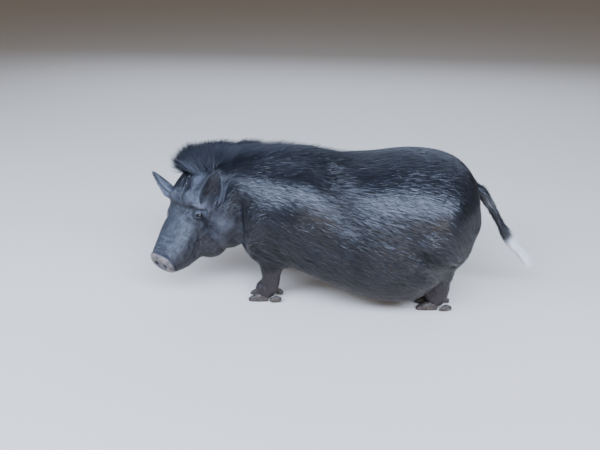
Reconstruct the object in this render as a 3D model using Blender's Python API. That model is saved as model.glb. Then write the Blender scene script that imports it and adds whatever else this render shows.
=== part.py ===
"""A Vietnamese pot-bellied pig, life size, standing with its head turned to its left and lowered.

Metres. The pig faces -X, its left side is -Y and +Z is up. Its claws stand on z = 0.
The flesh is modelled whole, as lofts and balls pressed together like clay, and is shaped on the face.
Thin cuts then part it into head, neck, torso and legs. Bristles are flat tapered locks fused on.
"""

import math
import random

import bmesh
import bpy
import numpy as np
from mathutils import Matrix, Vector
from mathutils.bvhtree import BVHTree

# Driving sizes, in metres and degrees
GAP = 0.0003
CLAY = 0.0055
FACE_TRIANGLES, LEG_TRIANGLES, BODY_TRIANGLES = 2800, 860, 2560
HEAD_YAW, HEAD_PITCH = 62.0, 52.5
POLL = Vector((-0.5205, -0.030, 0.381))
EYE_SPOT, EYE_RADIUS, EYE_SUNK = (0.107, 0.066, -0.032), 0.0115, 0.0015
EYE_OUT, EYE_LONG = (0.20, 0.70, 0.68), (-0.60, 0.62, -0.45)
LIDS, LID_OPENING = (0.0205, 0.0160, 0.0146), (0.0122, 0.0058, 0.0110)
EAR_LENGTH, EAR_WIDTH, EAR_WALL, EAR_ROOT = 0.106, 0.061, 0.0045, 0.014
NECK_CUT = -0.335
HEAD_CUT, HEAD_CUT_YAW, HEAD_CUT_DROP = 0.252, 47.0, 15.0
DISC_LEAN, DISC_AHEAD, DISC_DEPTH = 35.0, 0.272, 0.007
FORE_STEP, HIND_STEP = 0.055, -0.060
GOLDEN_TURN = math.radians(137.5)
LEG_TOP, LEG_STEP_IN, CELL_EASE, CELL_FOOT = 0.14, 0.02, 0.006, 0.046

random.seed(11)

ACROSS = Vector((0, 1, 0))
UP = Vector((0, 0, 1))


def through(rows, count):
    """Rows of sizes at even steps along a smooth curve through the rows given."""
    keys = np.array(rows, float)
    ends = np.vstack([2 * keys[0] - keys[1], keys, 2 * keys[-1] - keys[-2]])
    found = []
    for step in np.linspace(0, len(keys) - 1, count):
        i = min(int(step), len(keys) - 2)
        t = step - i
        a, b, c, d = ends[i : i + 4]
        bend = (2 * a - 5 * b + 4 * c - d) * t**2 + (3 * b - a - 3 * c + d) * t**3
        found.append(0.5 * (2 * b + (c - a) * t + bend))
    return np.array(found)


def object_of(bm, name):
    """The finished mesh as an object of the scene."""
    bm.normal_update()
    bmesh.ops.recalc_face_normals(bm, faces=bm.faces)
    mesh = bpy.data.meshes.new(name)
    bm.to_mesh(mesh)
    bm.free()
    made = bpy.data.objects.new(name, mesh)
    bpy.context.scene.collection.objects.link(made)
    return made


def ring(bm, sides, place):
    """A closed cross-section through place(cosine, sine) at each corner. Returns its edges."""
    made = bmesh.ops.create_circle(bm, segments=sides, radius=1.0)["verts"]
    for vert in made:
        vert.co = place(vert.co.x, vert.co.y)
    return list({edge for vert in made for edge in vert.link_edges})


def skin_over(bm, rings):
    """Faces from each ring to the next, and a cap on both ends."""
    for first, second in zip(rings, rings[1:]):
        bmesh.ops.bridge_loops(bm, edges=first + second)
    for end in (rings[0], rings[-1]):
        bmesh.ops.contextual_create(bm, geom=end)


def oval(spot, right, up, across, rise, drop, square=2.2, pear=0.0):
    """A rounded section. Square over 2 fills its corners, and pear moves its width downward."""

    def place(c, s):
        wide = math.copysign(abs(c) ** (2 / square), c) * across
        high = math.copysign(abs(s) ** (2 / square), s)
        reach = high * (rise if s > 0 else drop)
        return spot + right * wide * (1 - pear * high) + up * reach

    return place


def loft(name, ovals, sides=32):
    """A closed skin over a row of sections."""
    bm = bmesh.new()
    skin_over(bm, [ring(bm, sides, place) for place in ovals])
    return object_of(bm, name)


def sweep(name, rows, count, sides=20):
    """A limb along rows of x, y, z, half width and half depth."""
    rows = through(rows, count)
    ovals = []
    for i, (x, y, z, half, deep) in enumerate(rows):
        ahead, behind = rows[min(i + 1, count - 1)], rows[max(i - 1, 0)]
        way = Vector(ahead[:3] - behind[:3]).normalized()
        side = (ACROSS - way * ACROSS.dot(way)).normalized()
        ovals.append(oval(Vector((x, y, z)), side, way.cross(side), half, deep, deep))
    return loft(name, ovals, sides)


def ball(name, centre, radii, turn=Matrix.Identity(3), rings=18):
    bm = bmesh.new()
    bmesh.ops.create_uvsphere(bm, u_segments=rings * 2, v_segments=rings, radius=1.0)
    for vert in bm.verts:
        vert.co = Vector(centre) + turn @ Vector([a * b for a, b in zip(vert.co, radii)])
    return object_of(bm, name)


# The head's own directions: along the snout, to the pig's left, and up out of the forehead
yaw, pitch = math.radians(HEAD_YAW), math.radians(HEAD_PITCH)
FORWARD = Vector((-math.cos(pitch) * math.cos(yaw), -math.cos(pitch) * math.sin(yaw), -math.sin(pitch)))
LEFT = Vector((math.sin(yaw), -math.cos(yaw), 0))
BROW = FORWARD.cross(LEFT)
SKULL = Matrix((FORWARD, LEFT, BROW)).transposed()
DISC_FACE = FORWARD * math.cos(math.radians(DISC_LEAN)) + BROW * math.sin(math.radians(DISC_LEAN))


def on_head(ahead, left, above):
    """A point of the head, measured from the top of the poll along the line of the face."""
    return POLL + SKULL @ Vector((ahead, left, above))


# Cross-sections of the trunk: x, back height, height of the widest line, belly height, half width, pear
TRUNK = (
    (-0.400, 0.425, 0.330, 0.235, 0.100, 0.00),
    (-0.370, 0.440, 0.325, 0.195, 0.135, 0.00),
    (-0.320, 0.450, 0.310, 0.155, 0.162, 0.01),
    (-0.250, 0.456, 0.285, 0.118, 0.186, 0.02),
    (-0.160, 0.454, 0.262, 0.078, 0.206, 0.04),
    (-0.070, 0.443, 0.243, 0.045, 0.220, 0.06),
    (0.020, 0.446, 0.230, 0.018, 0.230, 0.07),
    (0.100, 0.460, 0.225, 0.007, 0.232, 0.07),
    (0.170, 0.462, 0.238, 0.010, 0.224, 0.05),
    (0.225, 0.454, 0.255, 0.045, 0.204, 0.02),
    (0.270, 0.437, 0.275, 0.120, 0.174, 0.00),
    (0.303, 0.410, 0.290, 0.185, 0.138, 0.00),
    (0.325, 0.377, 0.296, 0.228, 0.096, 0.00),
    (0.338, 0.330, 0.296, 0.264, 0.048, 0.00),
)

# Cross-sections of the head: distance ahead of the poll, forehead, jaw, half width, lean and pear
HEAD = (
    (-0.040, -0.060, -0.130, 0.060, 0, 0.00),
    (-0.020, -0.026, -0.170, 0.087, 0, 0.04),
    (0.010, -0.012, -0.196, 0.100, 0, 0.10),
    (0.050, -0.001, -0.208, 0.111, 0, 0.16),
    (0.090, -0.002, -0.204, 0.110, 0, 0.20),
    (0.125, -0.012, -0.190, 0.098, 2, 0.20),
    (0.155, -0.014, -0.176, 0.085, 4, 0.16),
    (0.185, -0.011, -0.158, 0.074, 7, 0.10),
    (0.215, -0.007, -0.136, 0.065, 10, 0.05),
    (0.242, -0.003, -0.110, 0.057, 17, 0.00),
    (0.262, 0.000, -0.080, 0.049, 25, 0.00),
    (0.274, -0.001, -0.055, 0.040, 35, 0.00),
)

# Legs, from inside the body down to the foot: x, y, z, half width, half depth. They are the left ones.
FORELEG = (
    (-0.265, -0.100, 0.270, 0.060, 0.080),
    (-0.258, -0.110, 0.205, 0.052, 0.066),
    (-0.258, -0.116, 0.155, 0.041, 0.046),
    (-0.266, -0.118, 0.112, 0.034, 0.037),
    (-0.268, -0.118, 0.078, 0.0275, 0.029),
    (-0.273, -0.118, 0.052, 0.029, 0.031),
    (-0.287, -0.118, 0.034, 0.028, 0.034),
    (-0.297, -0.118, 0.019, 0.023, 0.028),
)
HINDLEG = (
    (0.220, -0.105, 0.270, 0.080, 0.095),
    (0.230, -0.112, 0.195, 0.058, 0.066),
    (0.243, -0.113, 0.150, 0.037, 0.041),
    (0.249, -0.111, 0.115, 0.029, 0.032),
    (0.249, -0.109, 0.080, 0.0255, 0.028),
    (0.246, -0.108, 0.052, 0.0275, 0.030),
    (0.236, -0.108, 0.034, 0.0265, 0.033),
    (0.227, -0.108, 0.019, 0.022, 0.027),
)
TAIL = (
    (0.295, 0.000, 0.368, 0.022, 0.022),
    (0.338, 0.000, 0.352, 0.0185, 0.0185),
    (0.370, -0.002, 0.316, 0.0155, 0.0155),
    (0.401, -0.004, 0.271, 0.0130, 0.0130),
    (0.429, -0.005, 0.229, 0.0105, 0.0105),
    (0.459, -0.006, 0.190, 0.0080, 0.0080),
    (0.484, -0.006, 0.162, 0.0055, 0.0055),
    (0.503, -0.006, 0.140, 0.0025, 0.0025),
)

# How square the sections are: the cheeks are rounded and the snout has a flat top, with a blend between
CHEEK_SQUARE, SNOUT_SQUARE, SNOUT_FROM, SNOUT_BLEND = 2.3, 2.8, 0.13, 0.06

# Soft masses, for both sides: centre and radii. The first three are of the body, the others of the head.
MASSES = {
    "shoulder": ((-0.255, 0.095, 0.262), (0.125, 0.095, 0.150)),
    "ham": ((0.195, 0.100, 0.248), (0.120, 0.102, 0.150)),
    "ham_low": ((0.212, 0.122, 0.190), (0.078, 0.072, 0.058)),
}
HEAD_MASSES = {
    "jowl": ((0.165, 0.056, -0.140), (0.062, 0.052, 0.062)),
    "cheek": ((0.105, 0.062, -0.110), (0.075, 0.052, 0.070)),
}
NECK_BALLS = (
    ((-0.340, 0.000, 0.300), (0.140, 0.152, 0.142)),
    ((-0.405, 0.000, 0.300), (0.125, 0.138, 0.128)),
    ((-0.455, 0.005, 0.292), (0.100, 0.120, 0.110)),
    ((-0.410, -0.050, 0.255), (0.085, 0.078, 0.112)),
)


def mirrored(rows, step=0.0):
    """The same rows on the pig's right side, moved along by the step."""
    return [(x + step, -y, *rest) for x, y, *rest in rows]


def trunk():
    return loft(
        "trunk",
        [
            oval(Vector((x, 0, wide)), ACROSS, UP, half, back - wide, wide - belly, 2.25, pear)
            for x, back, wide, belly, half, pear in through(TRUNK, 44)
        ],
        48,
    )


def head_clay():
    ovals = []
    for ahead, top, bottom, half, tilt, pear in through(HEAD, 40):
        lean = math.radians(tilt)
        up = BROW * math.cos(lean) - FORWARD * math.sin(lean)
        deep = (top - bottom) / 2
        boxy = min(max((ahead - SNOUT_FROM) / SNOUT_BLEND, 0), 1)
        square = CHEEK_SQUARE + (SNOUT_SQUARE - CHEEK_SQUARE) * boxy
        ovals.append(oval(on_head(ahead, 0, top) - up * deep, LEFT, up, half, deep, deep, square, pear))
    return loft("head clay", ovals, 40)


def clay_parts():
    parts = [trunk(), head_clay()]
    parts.append(sweep("foreleg", FORELEG, 28))
    parts.append(sweep("foreleg", mirrored(FORELEG, FORE_STEP), 28))
    parts.append(sweep("hindleg", HINDLEG, 28))
    parts.append(sweep("hindleg", mirrored(HINDLEG, HIND_STEP), 28))
    parts += [ball("neck", centre, radii) for centre, radii in NECK_BALLS]
    for hand in (-1, 1):
        for (x, y, z), radii in MASSES.values():
            parts.append(ball("mass", (x, hand * y, z), radii))
        for (ahead, left, above), radii in HEAD_MASSES.values():
            parts.append(ball("mass", on_head(ahead, hand * left, above), radii, SKULL))
    return parts


def join(parts, name):
    bm = bmesh.new()
    for part in parts:
        bm.from_mesh(part.data)
        bpy.data.objects.remove(part)
    return object_of(bm, name)


def settle(target):
    """Applies what the modifiers do to the object's own mesh."""
    graph = bpy.context.evaluated_depsgraph_get()
    made = bpy.data.meshes.new_from_object(target.evaluated_get(graph))
    target.modifiers.clear()
    target.data = made
    return target


def modified(target, kind, **settings):
    modifier = target.modifiers.new(kind.title(), kind)
    for key, value in settings.items():
        setattr(modifier, key, value)
    return settle(target)


def weighted(target, name, weight):
    """A vertex group whose weights come from each point's place."""
    group = target.vertex_groups.new(name=name)
    for vert in target.data.vertices:
        amount = weight(vert.co)
        if amount > 0.01:
            group.add([vert.index], min(amount, 1.0), "REPLACE")


def near(spot, centre, reach):
    """One at the centre, fading smoothly to nothing at the reach."""
    away = (Vector(spot) - Vector(centre)).length / reach
    return max(0.0, 1 - away * away) ** 2


# Strokes that press the clay in or draw it out, for both sides: the line, its half width and its height.
# Those of the head are given ahead of, to the side of and above the poll, those of the body as x, y, z.
FACE_STROKES = (
    (((0.066, 0.016, 0.000), (0.080, 0.046, -0.004), (0.082, 0.080, -0.010)), 0.016, 0.0085),
    (
        ((0.110, 0.000, -0.006), (0.104, 0.040, -0.006), (0.101, 0.078, -0.012), (0.095, 0.100, -0.010)),
        0.0080,
        -0.0054,
    ),
    (((0.034, 0.004, -0.002), (0.054, 0.004, -0.001)), 0.015, -0.0040),
    (((0.109, 0.062, -0.036), (0.113, 0.078, -0.056)), 0.017, -0.0062),
    (((0.126, 0.046, -0.024), (0.134, 0.064, -0.050), (0.124, 0.084, -0.076)), 0.009, 0.0046),
    (((0.146, 0.040, -0.022), (0.152, 0.058, -0.052)), 0.009, -0.0028),
    (((0.144, 0.066, -0.052), (0.186, 0.074, -0.070), (0.228, 0.066, -0.078)), 0.012, -0.0040),
    (((0.140, 0.048, -0.022), (0.186, 0.058, -0.034), (0.238, 0.050, -0.040)), 0.009, 0.0026),
    (((0.088, 0.098, -0.052), (0.146, 0.084, -0.092), (0.196, 0.064, -0.124)), 0.013, -0.0070),
    (((0.066, 0.104, -0.082), (0.128, 0.092, -0.126), (0.178, 0.070, -0.158)), 0.015, 0.0090),
    (((0.040, 0.108, -0.126), (0.096, 0.090, -0.176)), 0.011, -0.0065),
    (((0.232, 0.000, -0.008), (0.229, 0.030, -0.014), (0.222, 0.046, -0.036)), 0.0040, -0.0026),
    (((0.245, 0.000, -0.006), (0.243, 0.028, -0.012), (0.237, 0.044, -0.034)), 0.0036, -0.0026),
    (((0.257, 0.000, -0.004), (0.255, 0.026, -0.010), (0.250, 0.042, -0.030)), 0.0034, -0.0022),
    (((0.172, 0.066, -0.094), (0.214, 0.056, -0.082), (0.250, 0.036, -0.066)), 0.0090, 0.0032),
    (((0.176, 0.062, -0.126), (0.216, 0.050, -0.106), (0.250, 0.028, -0.090)), 0.0080, 0.0026),
)
DISC_RIM, DISC_RIM_WIDE, DISC_RIM_HIGH = 0.218, 0.007, 0.0035
BODY_STROKES = (
    (((-0.094, 0.100, 0.425), (-0.072, 0.170, 0.365), (-0.090, 0.212, 0.250)), 0.044, -0.0115),
    (((-0.215, 0.170, 0.400), (-0.240, 0.196, 0.310)), 0.060, 0.0120),
    (((-0.300, 0.168, 0.205), (-0.262, 0.190, 0.178), (-0.220, 0.192, 0.172)), 0.022, -0.0120),
    (((-0.356, 0.139, 0.332), (-0.355, 0.144, 0.272), (-0.352, 0.128, 0.205)), 0.021, -0.0150),
    (((0.134, 0.212, 0.290), (0.148, 0.218, 0.250)), 0.024, -0.0080),
    (((0.112, 0.206, 0.281), (0.124, 0.213, 0.250), (0.132, 0.221, 0.216)), 0.013, 0.0050),
    (((0.215, 0.170, 0.350), (0.210, 0.196, 0.240)), 0.055, 0.0120),
    (((0.335, 0.085, 0.270), (0.315, 0.090, 0.200)), 0.050, 0.0130),
    (((-0.405, 0.134, 0.306), (-0.408, 0.128, 0.250), (-0.409, 0.114, 0.195)), 0.018, 0.0080),
    (((0.340, 0.000, 0.290), (0.335, 0.000, 0.240), (0.300, 0.000, 0.170)), 0.030, -0.0340),
    (
        ((0.160, 0.223, 0.246), (0.188, 0.224, 0.214), (0.222, 0.208, 0.192), (0.258, 0.178, 0.180)),
        0.015,
        -0.0110,
    ),
    (((0.185, 0.210, 0.182), (0.215, 0.190, 0.165), (0.255, 0.160, 0.155)), 0.030, -0.0090),
    (((0.176, 0.212, 0.268), (0.205, 0.212, 0.240), (0.245, 0.188, 0.222)), 0.026, 0.0070),
    (((-0.020, 0.226, 0.150), (0.060, 0.232, 0.140)), 0.050, 0.0060),
    (((-0.250, 0.000, 0.458), (-0.060, 0.000, 0.445)), 0.040, 0.0050),
)


def pressed(spots, strokes):
    """How far each spot is pushed out by the strokes, in metres. Their lines hold for either side."""
    spots = spots * (1, 0, 1) + np.abs(spots) * (0, 1, 0)
    out = np.zeros(len(spots))
    for path, width, height in strokes:
        away = np.full(len(spots), np.inf)
        for start, end in zip(np.array(path), np.array(path)[1:]):
            line = end - start
            share = np.clip((spots - start) @ line / (line @ line), 0, 1)[:, None]
            away = np.minimum(away, np.linalg.norm(spots - start - line * share, axis=1))
        out += height * np.exp(-((away / width) ** 2))
    return out


def sculpt(target):
    """Doubles the mesh on the head, then presses in folds and draws out brows, lips and muscles."""
    bm = bmesh.new()
    bm.from_mesh(target.data)
    head = [face for face in bm.faces if in_front(face.calc_center_median())]
    edges = {edge for face in head for edge in face.edges}
    bmesh.ops.subdivide_edges(bm, edges=list(edges), cuts=1, use_grid_fill=True)
    bmesh.ops.triangulate(bm, faces=bm.faces)
    bm.normal_update()
    spots = np.array([vert.co[:] for vert in bm.verts])
    on_face = (spots - np.array(POLL)) @ np.array(SKULL)
    moves = pressed(on_face, FACE_STROKES) + pressed(spots, BODY_STROKES)
    lean = math.radians(DISC_LEAN)
    outward = on_face @ (math.cos(lean), 0, math.sin(lean))
    rim = DISC_RIM_HIGH * np.exp(-(((outward - DISC_RIM) / DISC_RIM_WIDE) ** 2))
    moves += rim * [in_front(vert.co) for vert in bm.verts]
    for vert, move in zip(bm.verts, moves):
        vert.co += vert.normal * float(move)
    bm.to_mesh(target.data)
    bm.free()


cut_yaw = math.radians(HEAD_CUT_YAW)
cut_drop = math.radians(HEAD_CUT_DROP)
HEAD_SIDE = Vector(
    (-math.cos(cut_yaw) * math.cos(cut_drop), -math.sin(cut_yaw) * math.cos(cut_drop), -math.sin(cut_drop))
)


def in_front(spot):
    return spot.dot(HEAD_SIDE) > HEAD_CUT - 0.02 and spot.x < NECK_CUT


def flesh():
    body = join(clay_parts(), "flesh")
    modified(body, "REMESH", mode="VOXEL", voxel_size=CLAY)
    modified(body, "SMOOTH", factor=0.5, iterations=10)
    weighted(body, "soft", soft_places)
    modified(body, "SMOOTH", factor=0.5, iterations=70, vertex_group="soft")
    sculpt(body)
    thinned(body, "face", in_front, FACE_TRIANGLES)
    thinned(body, "legs", on_leg, LEG_TRIANGLES)
    thinned(body, "body", lambda spot: not in_front(spot) and not on_leg(spot), BODY_TRIANGLES)
    return body


def on_leg(spot):
    return spot.z < 0.135 and abs(spot.y) > 0.06 and (spot.x < -0.15 or spot.x > 0.15)


def thinned(target, name, zone, goal):
    """Simplifies one zone of the mesh to about the number of triangles given and leaves the rest."""
    weighted(target, name, lambda spot: float(zone(spot)))
    spare = sum(zone(face.center) for face in target.data.polygons) - goal
    share = 1 - spare / len(target.data.polygons)
    modified(target, "DECIMATE", ratio=share, vertex_group=name, vertex_group_factor=1.0)


def soft_places(spot):
    neck = max(near(spot, (-0.42, -0.03, 0.30), 0.22), near(spot, on_head(0.02, 0.08, -0.12), 0.12))
    jowl = max(near(spot, on_head(0.15, hand * 0.07, -0.12), 0.11) for hand in (-1, 1))
    ham = max(near(spot, (0.25, hand * 0.15, 0.22), 0.20) for hand in (-1, 1))
    shoulder = max(near(spot, (-0.25, hand * 0.15, 0.27), 0.20) for hand in (-1, 1))
    return max(neck, jowl * 0.6, ham, shoulder)


def copied(target, name):
    made = bpy.data.objects.new(name, target.data.copy())
    bpy.context.scene.collection.objects.link(made)
    return made


def halved(target, point, normal, name):
    """Cuts the target by a plane. What lies along the normal becomes a new object."""
    beyond = copied(target, name)
    for side, thing in ((1, beyond), (-1, target)):
        bm = bmesh.new()
        bm.from_mesh(thing.data)
        place = Vector(point) + Vector(normal) * GAP / 2 * side
        whole = list(bm.verts) + list(bm.edges) + list(bm.faces)
        cut = bmesh.ops.bisect_plane(
            bm, geom=whole, plane_co=place, plane_no=normal, clear_inner=side > 0, clear_outer=side < 0
        )
        edges = [item for item in cut["geom_cut"] if isinstance(item, bmesh.types.BMEdge)]
        bmesh.ops.holes_fill(bm, edges=edges, sides=0)
        bmesh.ops.triangulate(bm, faces=bm.faces)
        bmesh.ops.recalc_face_normals(bm, faces=bm.faces)
        bm.to_mesh(thing.data)
        bm.free()
    return beyond


def combined(target, other, operation, solver="MANIFOLD"):
    modifier = target.modifiers.new("Combine", "BOOLEAN")
    modifier.operation = operation
    modifier.solver = solver
    modifier.object = other
    settle(target)
    return target


def cut_away(target, other):
    combined(target, other, "DIFFERENCE")
    bpy.data.objects.remove(other)
    return target


def added(target, other):
    combined(target, other, "UNION")
    bpy.data.objects.remove(other)
    return target


def grown(target, by=GAP):
    """A copy whose skin stands off by the gap."""
    made = copied(target, "grown")
    bm = bmesh.new()
    bm.from_mesh(made.data)
    bm.normal_update()
    moves = [(vert, vert.normal * by * min(vert.calc_shell_factor(), 3)) for vert in bm.verts]
    for vert, move in moves:
        vert.co += move
    bm.to_mesh(made.data)
    bm.free()
    return made


def leg_cell(rows):
    """A sleeve a little wider than the leg, from the leg's top down past the foot."""
    rows = [row for row in rows if row[2] < LEG_TOP + LEG_STEP_IN]
    x, y, *_ = rows[-1]
    sleeve = [(x, y, z, half + CELL_EASE, deep + CELL_EASE) for x, y, z, half, deep in rows[:-3]]
    sleeve += [(x - 0.006, y, z, CELL_FOOT, CELL_FOOT * 1.3) for z in (0.050, 0.015, -0.020)]
    cell = sweep("cell", sleeve, 9, 14)
    bm = bmesh.new()
    bm.from_mesh(cell.data)
    bmesh.ops.triangulate(bm, faces=bm.faces)
    bm.to_mesh(cell.data)
    bm.free()
    return cell


def legs_from(torso):
    legs = {}
    for name, rows in (
        ("leg_fore_left", FORELEG),
        ("leg_fore_right", mirrored(FORELEG, FORE_STEP)),
        ("leg_hind_left", HINDLEG),
        ("leg_hind_right", mirrored(HINDLEG, HIND_STEP)),
    ):
        cell = leg_cell(rows)
        leg = copied(torso, name)
        combined(leg, cell, "INTERSECT")
        cut_away(torso, grown(cell))
        bpy.data.objects.remove(cell)
        legs[name] = largest(leg)
    return legs


def largest(target):
    """Keeps the largest closed surface of the mesh."""
    bm = bmesh.new()
    bm.from_mesh(target.data)
    left, groups = set(bm.verts), []
    while left:
        group, edge = set(), [left.pop()]
        while edge:
            vert = edge.pop()
            group.add(vert)
            for link in vert.link_edges:
                other = link.other_vert(vert)
                if other in left:
                    left.discard(other)
                    edge.append(other)
        groups.append(group)
    keep = max(groups, key=len)
    bmesh.ops.delete(bm, geom=[vert for vert in bm.verts if vert not in keep], context="VERTS")
    bm.to_mesh(target.data)
    bm.free()
    return target


# Claws and dewclaws: distance forward of the ankle, top of the horn and half width, over a flat sole
CLAW = (
    (-0.012, 0.0200, 0.0080),
    (0.000, 0.0280, 0.0105),
    (0.018, 0.0270, 0.0115),
    (0.036, 0.0180, 0.0100),
    (0.050, 0.0085, 0.0060),
)
DEWCLAW = (
    (-0.010, 0.010, 0.0050),
    (0.004, 0.017, 0.0070),
    (0.016, 0.013, 0.0060),
    (0.026, 0.006, 0.0028),
)
CLAW_SPREAD, CLAW_TURN = 0.0128, 6.0
DEWCLAW_SPREAD, DEWCLAW_TURN, DEWCLAW_BEHIND, DEWCLAW_LIFT = 0.020, 14.0, 0.044, 0.007


def claw(name, x, y, turn, rows, count, lift=0.0):
    """One claw of horn with a flat sole, turned about its own ankle."""
    spin = Matrix.Rotation(math.radians(turn), 3, "Z")
    ovals = []
    for ahead, top, half in through(rows, count):
        middle = Vector((x, y, lift)) + spin @ Vector((-ahead, 0, top * 0.42))
        ovals.append(oval(middle, spin @ ACROSS, UP, half, top * 0.58, top * 0.58, 2.6))
    made = loft(name, ovals, 8)
    for vert in made.data.vertices:
        vert.co.z = max(vert.co.z, lift)
    return made


def claws():
    """Two claws and two dewclaws for each foot."""
    made = {}
    for foot, x, y, hand in (
        ("fore_left", -0.288, -0.118, -1),
        ("fore_right", -0.288 + FORE_STEP, 0.118, 1),
        ("hind_left", 0.232, -0.108, -1),
        ("hind_right", 0.232 + HIND_STEP, 0.108, 1),
    ):
        for side, away in (("outer", hand), ("inner", -hand)):
            name = f"claw_{foot}_{side}"
            made[name] = claw(name, x, y + away * CLAW_SPREAD, -away * CLAW_TURN, CLAW, 6)
            name = f"dewclaw_{foot}_{side}"
            across = y + away * DEWCLAW_SPREAD
            back = x + DEWCLAW_BEHIND
            made[name] = claw(name, back, across, -away * DEWCLAW_TURN, DEWCLAW, 4, DEWCLAW_LIFT)
    return made


# Half of the mouth line, from the corner to the front: ahead, left and above the poll
MOUTH = (
    (0.170, 0.068, -0.112),
    (0.190, 0.062, -0.105),
    (0.212, 0.055, -0.096),
    (0.234, 0.047, -0.088),
    (0.252, 0.034, -0.081),
    (0.261, 0.017, -0.077),
    (0.263, 0.000, -0.076),
)
MOUTH_DEEP, MOUTH_OPEN = 0.008, 0.0026
NOSTRIL_APART, NOSTRIL = 0.0180, (0.0085, 0.0066, 0.0082)


def mouth_blade(tree):
    """A thin bent blade that follows the closed lips round the snout."""
    half = list(MOUTH)
    path = half + [(ahead, -left, above) for ahead, left, above in reversed(half[:-1])]
    bm = bmesh.new()
    rings = []
    for i, (ahead, left, above) in enumerate(path):
        before, after = path[max(i - 1, 0)], path[min(i + 1, len(path) - 1)]
        along = SKULL @ (Vector(after) - Vector(before))
        outward = along.cross(BROW).normalized()
        middle = on_head(ahead, left, above)
        if outward.dot(middle - on_head(0.15, 0, above)) < 0:
            outward = -outward
        lip = surface_spot(tree, middle, -outward)
        end = 0.35 if i in (0, len(path) - 1) else 1.0

        def place(c, s, lip=lip, outward=outward, end=end):
            deep = -MOUTH_DEEP * end if c < -0.5 else (0.006 if c > 0.5 else 0)
            open_by = MOUTH_OPEN / 2 * s * end * (1.0 if abs(c) < 0.5 else 0.4)
            return lip + outward * deep + BROW * open_by

        rings.append(ring(bm, 4, place))
    skin_over(bm, rings)
    return object_of(bm, "mouth blade")


def nostril(tree, hand):
    """A hollow for one nostril, in the face of the snout."""
    middle = on_head(DISC_AHEAD, hand * NOSTRIL_APART, -0.030)
    mouth = surface_spot(tree, middle, -DISC_FACE)
    turn = Matrix((DISC_FACE, LEFT, DISC_FACE.cross(LEFT))).transposed()
    return ball("nostril", mouth, NOSTRIL, turn, rings=5)


def eye_in(head, tree, hand, name):
    """An eyeball, and the head given a socket and two lids round it."""
    outward = (SKULL @ Vector((EYE_OUT[0], EYE_OUT[1] * hand, EYE_OUT[2]))).normalized()
    ahead, left, above = EYE_SPOT
    skin = surface_spot(tree, on_head(ahead, hand * left, above), -outward)
    middle = skin - outward * (EYE_RADIUS + EYE_SUNK)
    long_way = SKULL @ Vector((EYE_LONG[0], EYE_LONG[1] * hand, EYE_LONG[2]))
    long_way = (long_way - outward * long_way.dot(outward)).normalized()
    turn = Matrix((long_way, outward.cross(long_way), outward)).transposed()
    eye = ball(name, middle, (EYE_RADIUS,) * 3, turn, rings=6)
    added(head, ball("lids", middle, LIDS, turn, rings=8))
    cut_away(head, grown(eye))
    cut_away(head, ball("opening", middle + outward * EYE_RADIUS, LID_OPENING, turn, rings=6))
    return eye


# Ear outline: share of the length, share of the full width
EAR = ((0, 0.66), (0.15, 0.86), (0.32, 1), (0.5, 0.99), (0.68, 0.86), (0.84, 0.66), (0.94, 0.44), (1, 0.16))

# Each ear: where its base sits, the way to its tip and the way it opens, each as ahead, left and above, and
# its curl
LEFT_EAR = ((0.056, 0.083, -0.030), (-0.62, 0.45, 0.64), (0.78, 0.46, 0.43), 0.012)
RIGHT_EAR = ((0.060, -0.090, -0.034), (-0.26, -0.93, 0.30), (0.84, -0.10, 0.50), 0.006)


def seen_from(hand):
    """The way out from the skull that meets the eye and the ear squarely."""
    return (LEFT * hand * 0.64 + BROW * 0.77).normalized()


def surface_spot(tree, middle, inward):
    """Where a line through the middle, coming in from outside, first meets the skin."""
    hit, _, _, _ = tree.ray_cast(middle - inward * 0.4, inward)
    return hit


def ear(name, tree, hand, base, way, facing, curl):
    """A cupped leaf. The way runs from its root to its tip and the facing is where it opens."""
    way = (SKULL @ Vector(way)).normalized()
    root = surface_spot(tree, on_head(*base), -seen_from(hand)) - way * EAR_ROOT
    facing = SKULL @ Vector(facing)
    facing = (facing - way * facing.dot(way)).normalized()
    side = way.cross(facing)
    bm = bmesh.new()
    rings = []
    for share, wide in through(EAR, 9):
        half = EAR_WIDTH / 2 * wide
        arc = math.radians(105 - 62 * share)
        bend = half / math.sin(min(arc, math.pi / 2))
        spine = root + way * EAR_LENGTH * share - facing * curl * share * share
        wall = EAR_WALL * (1 - 0.55 * share)

        def place(c, s, half=half, arc=arc, bend=bend, spine=spine, wall=wall):
            turn = c * arc
            rim = bend + (wall / 2 if s < 0 else -wall / 2) * (1 - 0.6 * c * c)
            return spine + side * rim * math.sin(turn) + facing * (bend * 0.8 - rim * math.cos(turn))

        rings.append(ring(bm, 16, place))
    skin_over(bm, rings)
    return object_of(bm, name)


# Locks of the crest: places across the back as shares of the half width, the spread of their rise in degrees,
# and sizes
CREST_ACROSS = (0.0, 0.9, -0.55, 0.45, -0.95)
CREST_SPREAD, CREST_LOCK_WIDE, CREST_LOCK_THICK, LOCK_ROOT = 7.0, (0.019, 0.027), 0.0034, 0.009
# The spread of their roll in degrees, the strip by the head's cut that is kept clear, how fast they get
# shorter towards the rear, and how far a lock droops by its tip as a share of its length
CREST_ROLL, CREST_CLEAR, CREST_FALL, LOCK_DROOP = 15, 0.012, 0.7, 0.15
# Crest of the neck and of the back: first and last x and the number of locks, then at both ends their
# lengths, rises and rolls in degrees, and last the half width of the strip. Locks that stand up are rolled so
# that their flat side shows.
NECK_CREST = (-0.545, NECK_CUT - 0.014, 26, (0.090, 0.046), (97, 33), (75, 45), 0.032)
BACK_CREST = (NECK_CUT + 0.016, 0.060, 27, (0.050, 0.044), (29, 20), (40, 10), 0.028)


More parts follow.
